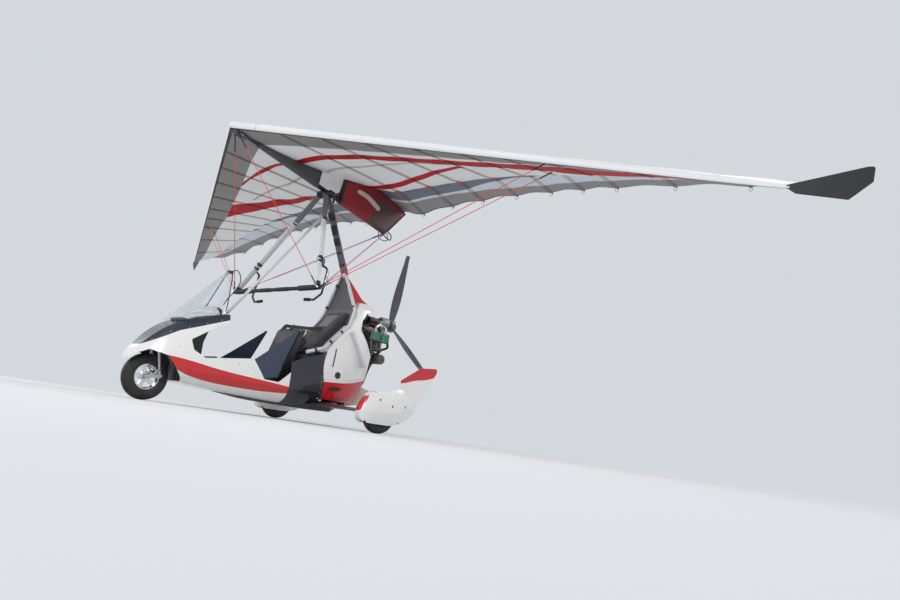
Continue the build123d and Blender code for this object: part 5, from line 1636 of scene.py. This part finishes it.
def build_wheels():
    """Wheel bolts, valves and tread blocks; levers, nuts and brake line of the front fork."""
    for name in ("front_wheel", "port_wheel", "starboard_wheel"):
        centre = PIVOT[name + "_spin"]
        hub, tread = Shape(lambda *p: centre + Vector(p)), Shape()
        for side in hub.both():
            for a in turns(5):
                hub.turned((0.034, cos(a) * 0.044, sin(a) * 0.044), (1, 0, 0), bolt(0.006, 0.006, 0.001, 0.0035), "steel", 6)
        c, s = cos(0.7), sin(0.7)
        hub.tube([(0.030, c * 0.098, s * 0.098), (0.046, c * 0.098, s * 0.098), (0.056, c * 0.092, s * 0.092)],
                 [0.0045, 0.004, 0.003], "dark_plastic", 8)
        hub.piece(name + "_bolts", name)
        for k in range(54):
            for side in (1, -1):
                start = 2 * pi * (k + (0.5 if side < 0 else 0)) / 54
                rows = []
                for x, r, shift in ((0.008, 0.2046, 0.0), (0.026, 0.2030, 0.012), (0.040, 0.1970, 0.022)):
                    corners = [(start + shift + u, r + lift)
                               for u, lift in ((0, -0.004), (0.038, -0.004), (0.038, 0.0003), (0, 0.0003))]
                    rows.append([centre + Vector((side * x, cos(a) * far, sin(a) * far)) for a, far in corners])
                tread.skin(rows, "rubber", smooth=False)
        tread.piece(name + "_tread", name)
    axle = PIVOT["front_wheel_spin"]
    lever = Shape(lambda *p: axle + Vector(p))
    for side in lever.both():
        lever.turned((0.060, 0, 0), (1, 0, 0), ((0, 0.020), (0.004, 0.022), (0.012, 0.022), (0.013, 0.016)), "alloy", 20)
        lever.turned((0.073, 0, 0), (1, 0, 0), ((0, 0.0125), (0.010, 0.0125), (0.011, 0.009), (0.018, 0.007)), "brass", 6)
        lever.tube([(0.068, 0.004, 0.004), (0.071, 0.045, 0.032), (0.071, 0.085, 0.075)], [0.015, 0.013, 0.017], "alloy", 14,
                   flat=0.6)
        lever.turned((0.062, 0.088, 0.080), (1, 0, 0), bolt(0.014, 0.016, 0.002, 0.009), "steel", 12)
    lever.tube([(0.072, 0.05, 0.04), (0.085, 0.10, 0.09), (0.080, 0.12, 0.18), (0.060, 0.10, 0.26)], 0.004, "cord_black", 8)
    lever.piece("fork_levers", "fork")


def build_propeller_details():
    """Hub plate and its bolts."""
    hub = Shape(lambda *p: PIVOT["propeller_spin"] + Vector(p))
    hub.turned((0, 0.030, 0), (0, 1, 0), ((0, 0.066), (0.002, 0.070), (0.010, 0.070), (0.012, 0.064), (0.013, 0.022),
                                          (0.020, 0.020), (0.021, 0.012)), "alloy", 32)
    for a in turns(6):
        hub.turned((cos(a + 0.2) * 0.052, 0.040, sin(a + 0.2) * 0.052), (0, 1, 0), bolt(0.0065, 0.007, 0.001, 0.004), "steel", 6)
    hub.piece("propeller_hub_plate", "propeller")


build_sails(build_batten_pockets())
for build in (build_keel_cloth, build_stay_fittings, build_wing_hardware, build_hang_fittings, build_mast_dress,
              build_mast_panel, build_seats, build_engine, build_cockpit, build_skin_details, build_radiator, build_wheels,
              build_propeller_details):
    build()


# Studio: pale floor, soft lamps, camera low in front of the left side

CAMERA = Vector((6.218, -4.194, 0.06))
AIM = Vector((0, 2.34, 1.81))
ROLL = radians(8.4)
FOCAL_PX = 705.0
BACKDROP = (0.66, 0.69, 0.73)


def in_scene(name, data):
    made = bpy.data.objects.new(name, data)
    bpy.context.collection.objects.link(made)
    return made


def build_camera():
    """Camera at floor level, turned about its line of sight by ROLL."""
    data = bpy.data.cameras.new("view")
    camera = in_scene("view", data)
    forward = (AIM - CAMERA).normalized()
    right = forward.cross(Vector((0, 0, 1))).normalized()
    up = right.cross(forward)
    turn = Matrix((right * cos(ROLL) + up * sin(ROLL), up * cos(ROLL) - right * sin(ROLL), -forward)).transposed()
    camera.matrix_world = Matrix.Translation(CAMERA) @ turn.to_4x4()
    data.sensor_width = 36.0
    data.lens = 36.0 * FOCAL_PX / 900
    data.clip_end = 500
    bpy.context.scene.camera = camera


def build_lamp(name, place, aim, size, power):
    """Large soft lamp."""
    data = bpy.data.lights.new(name, "AREA")
    data.shape, data.size, data.energy = "DISK", size, power
    lamp = in_scene(name, data)
    way = Vector(aim) - Vector(place)
    lamp.matrix_world = Matrix.Translation(Vector(place)) @ way.to_track_quat("-Z", "Y").to_matrix().to_4x4()


def blend_into(tree, mask, first, second, end):
    """Mixes two shaders by a mask into the tree's surface."""
    blend = tree.nodes.new("ShaderNodeMixShader")
    for value, socket in zip((mask, out(first), out(second)), blend.inputs):
        put(value, socket)
    put(out(blend), tree.nodes[end].inputs["Surface"])


def build_world():
    """Soft daylight; camera, glossy and clear rays see a plain pale backdrop."""
    world = bpy.data.worlds.new("studio")
    bpy.context.scene.world = world
    world.use_nodes = True
    tree = world.node_tree
    back = tree.nodes["Background"]
    fill(back.inputs, Color=(0.98, 0.985, 1.0), Strength=0.55)
    pale = new_node(tree, "ShaderNodeBackground", Color=BACKDROP, Strength=1.0)
    path = tree.nodes.new("ShaderNodeLightPath")
    seen = out(path, "Is Camera Ray") | (out(path, "Is Glossy Ray") | out(path, "Is Transmission Ray"))
    blend_into(tree, seen, back, pale, "World Output")


def build_floor():
    """Wide pale floor, which fades into the backdrop far out."""
    mesh = bpy.data.meshes.new("floor")
    reach = 150
    mesh.from_pydata([(-reach, -reach, 0), (reach, -reach, 0), (reach, reach, 0), (-reach, reach, 0)], [], [(0, 1, 2, 3)])
    floor = in_scene("floor", mesh)
    made, shader, at = new_material("floor_pale", Roughness=0.9, Specular_IOR_Level=0.0)
    tree = at.tree
    fill(shader.inputs, Base_Color=mix(noise(at, Scale=1.5, Detail=6.0), (0.72, 0.735, 0.755), (0.69, 0.705, 0.73)))
    away = tree.nodes.new("ShaderNodeVectorMath")
    away.operation = "LENGTH"
    put(at, away.inputs[0])
    glow = new_node(tree, "ShaderNodeEmission", Color=BACKDROP, Strength=1.0)
    path = tree.nodes.new("ShaderNodeLightPath")
    far = ramp(out(away, "Value"), 1 / 5.0, -0.8) * out(path, "Is Camera Ray")
    blend_into(tree, far, shader, glow, "Material Output")
    mesh.materials.append(made)


build_camera()
build_world()
build_floor()
build_lamp("key", (7, -9, 9), (0, 0, 1.2), 5.0, 900)
build_lamp("fill", (-9, -5, 5), (0, 0, 1.4), 6.0, 420)
build_lamp("rear", (3, 10, 8), (0, 0.5, 1.2), 6.0, 420)
bpy.context.scene.view_settings.view_transform = "Standard"
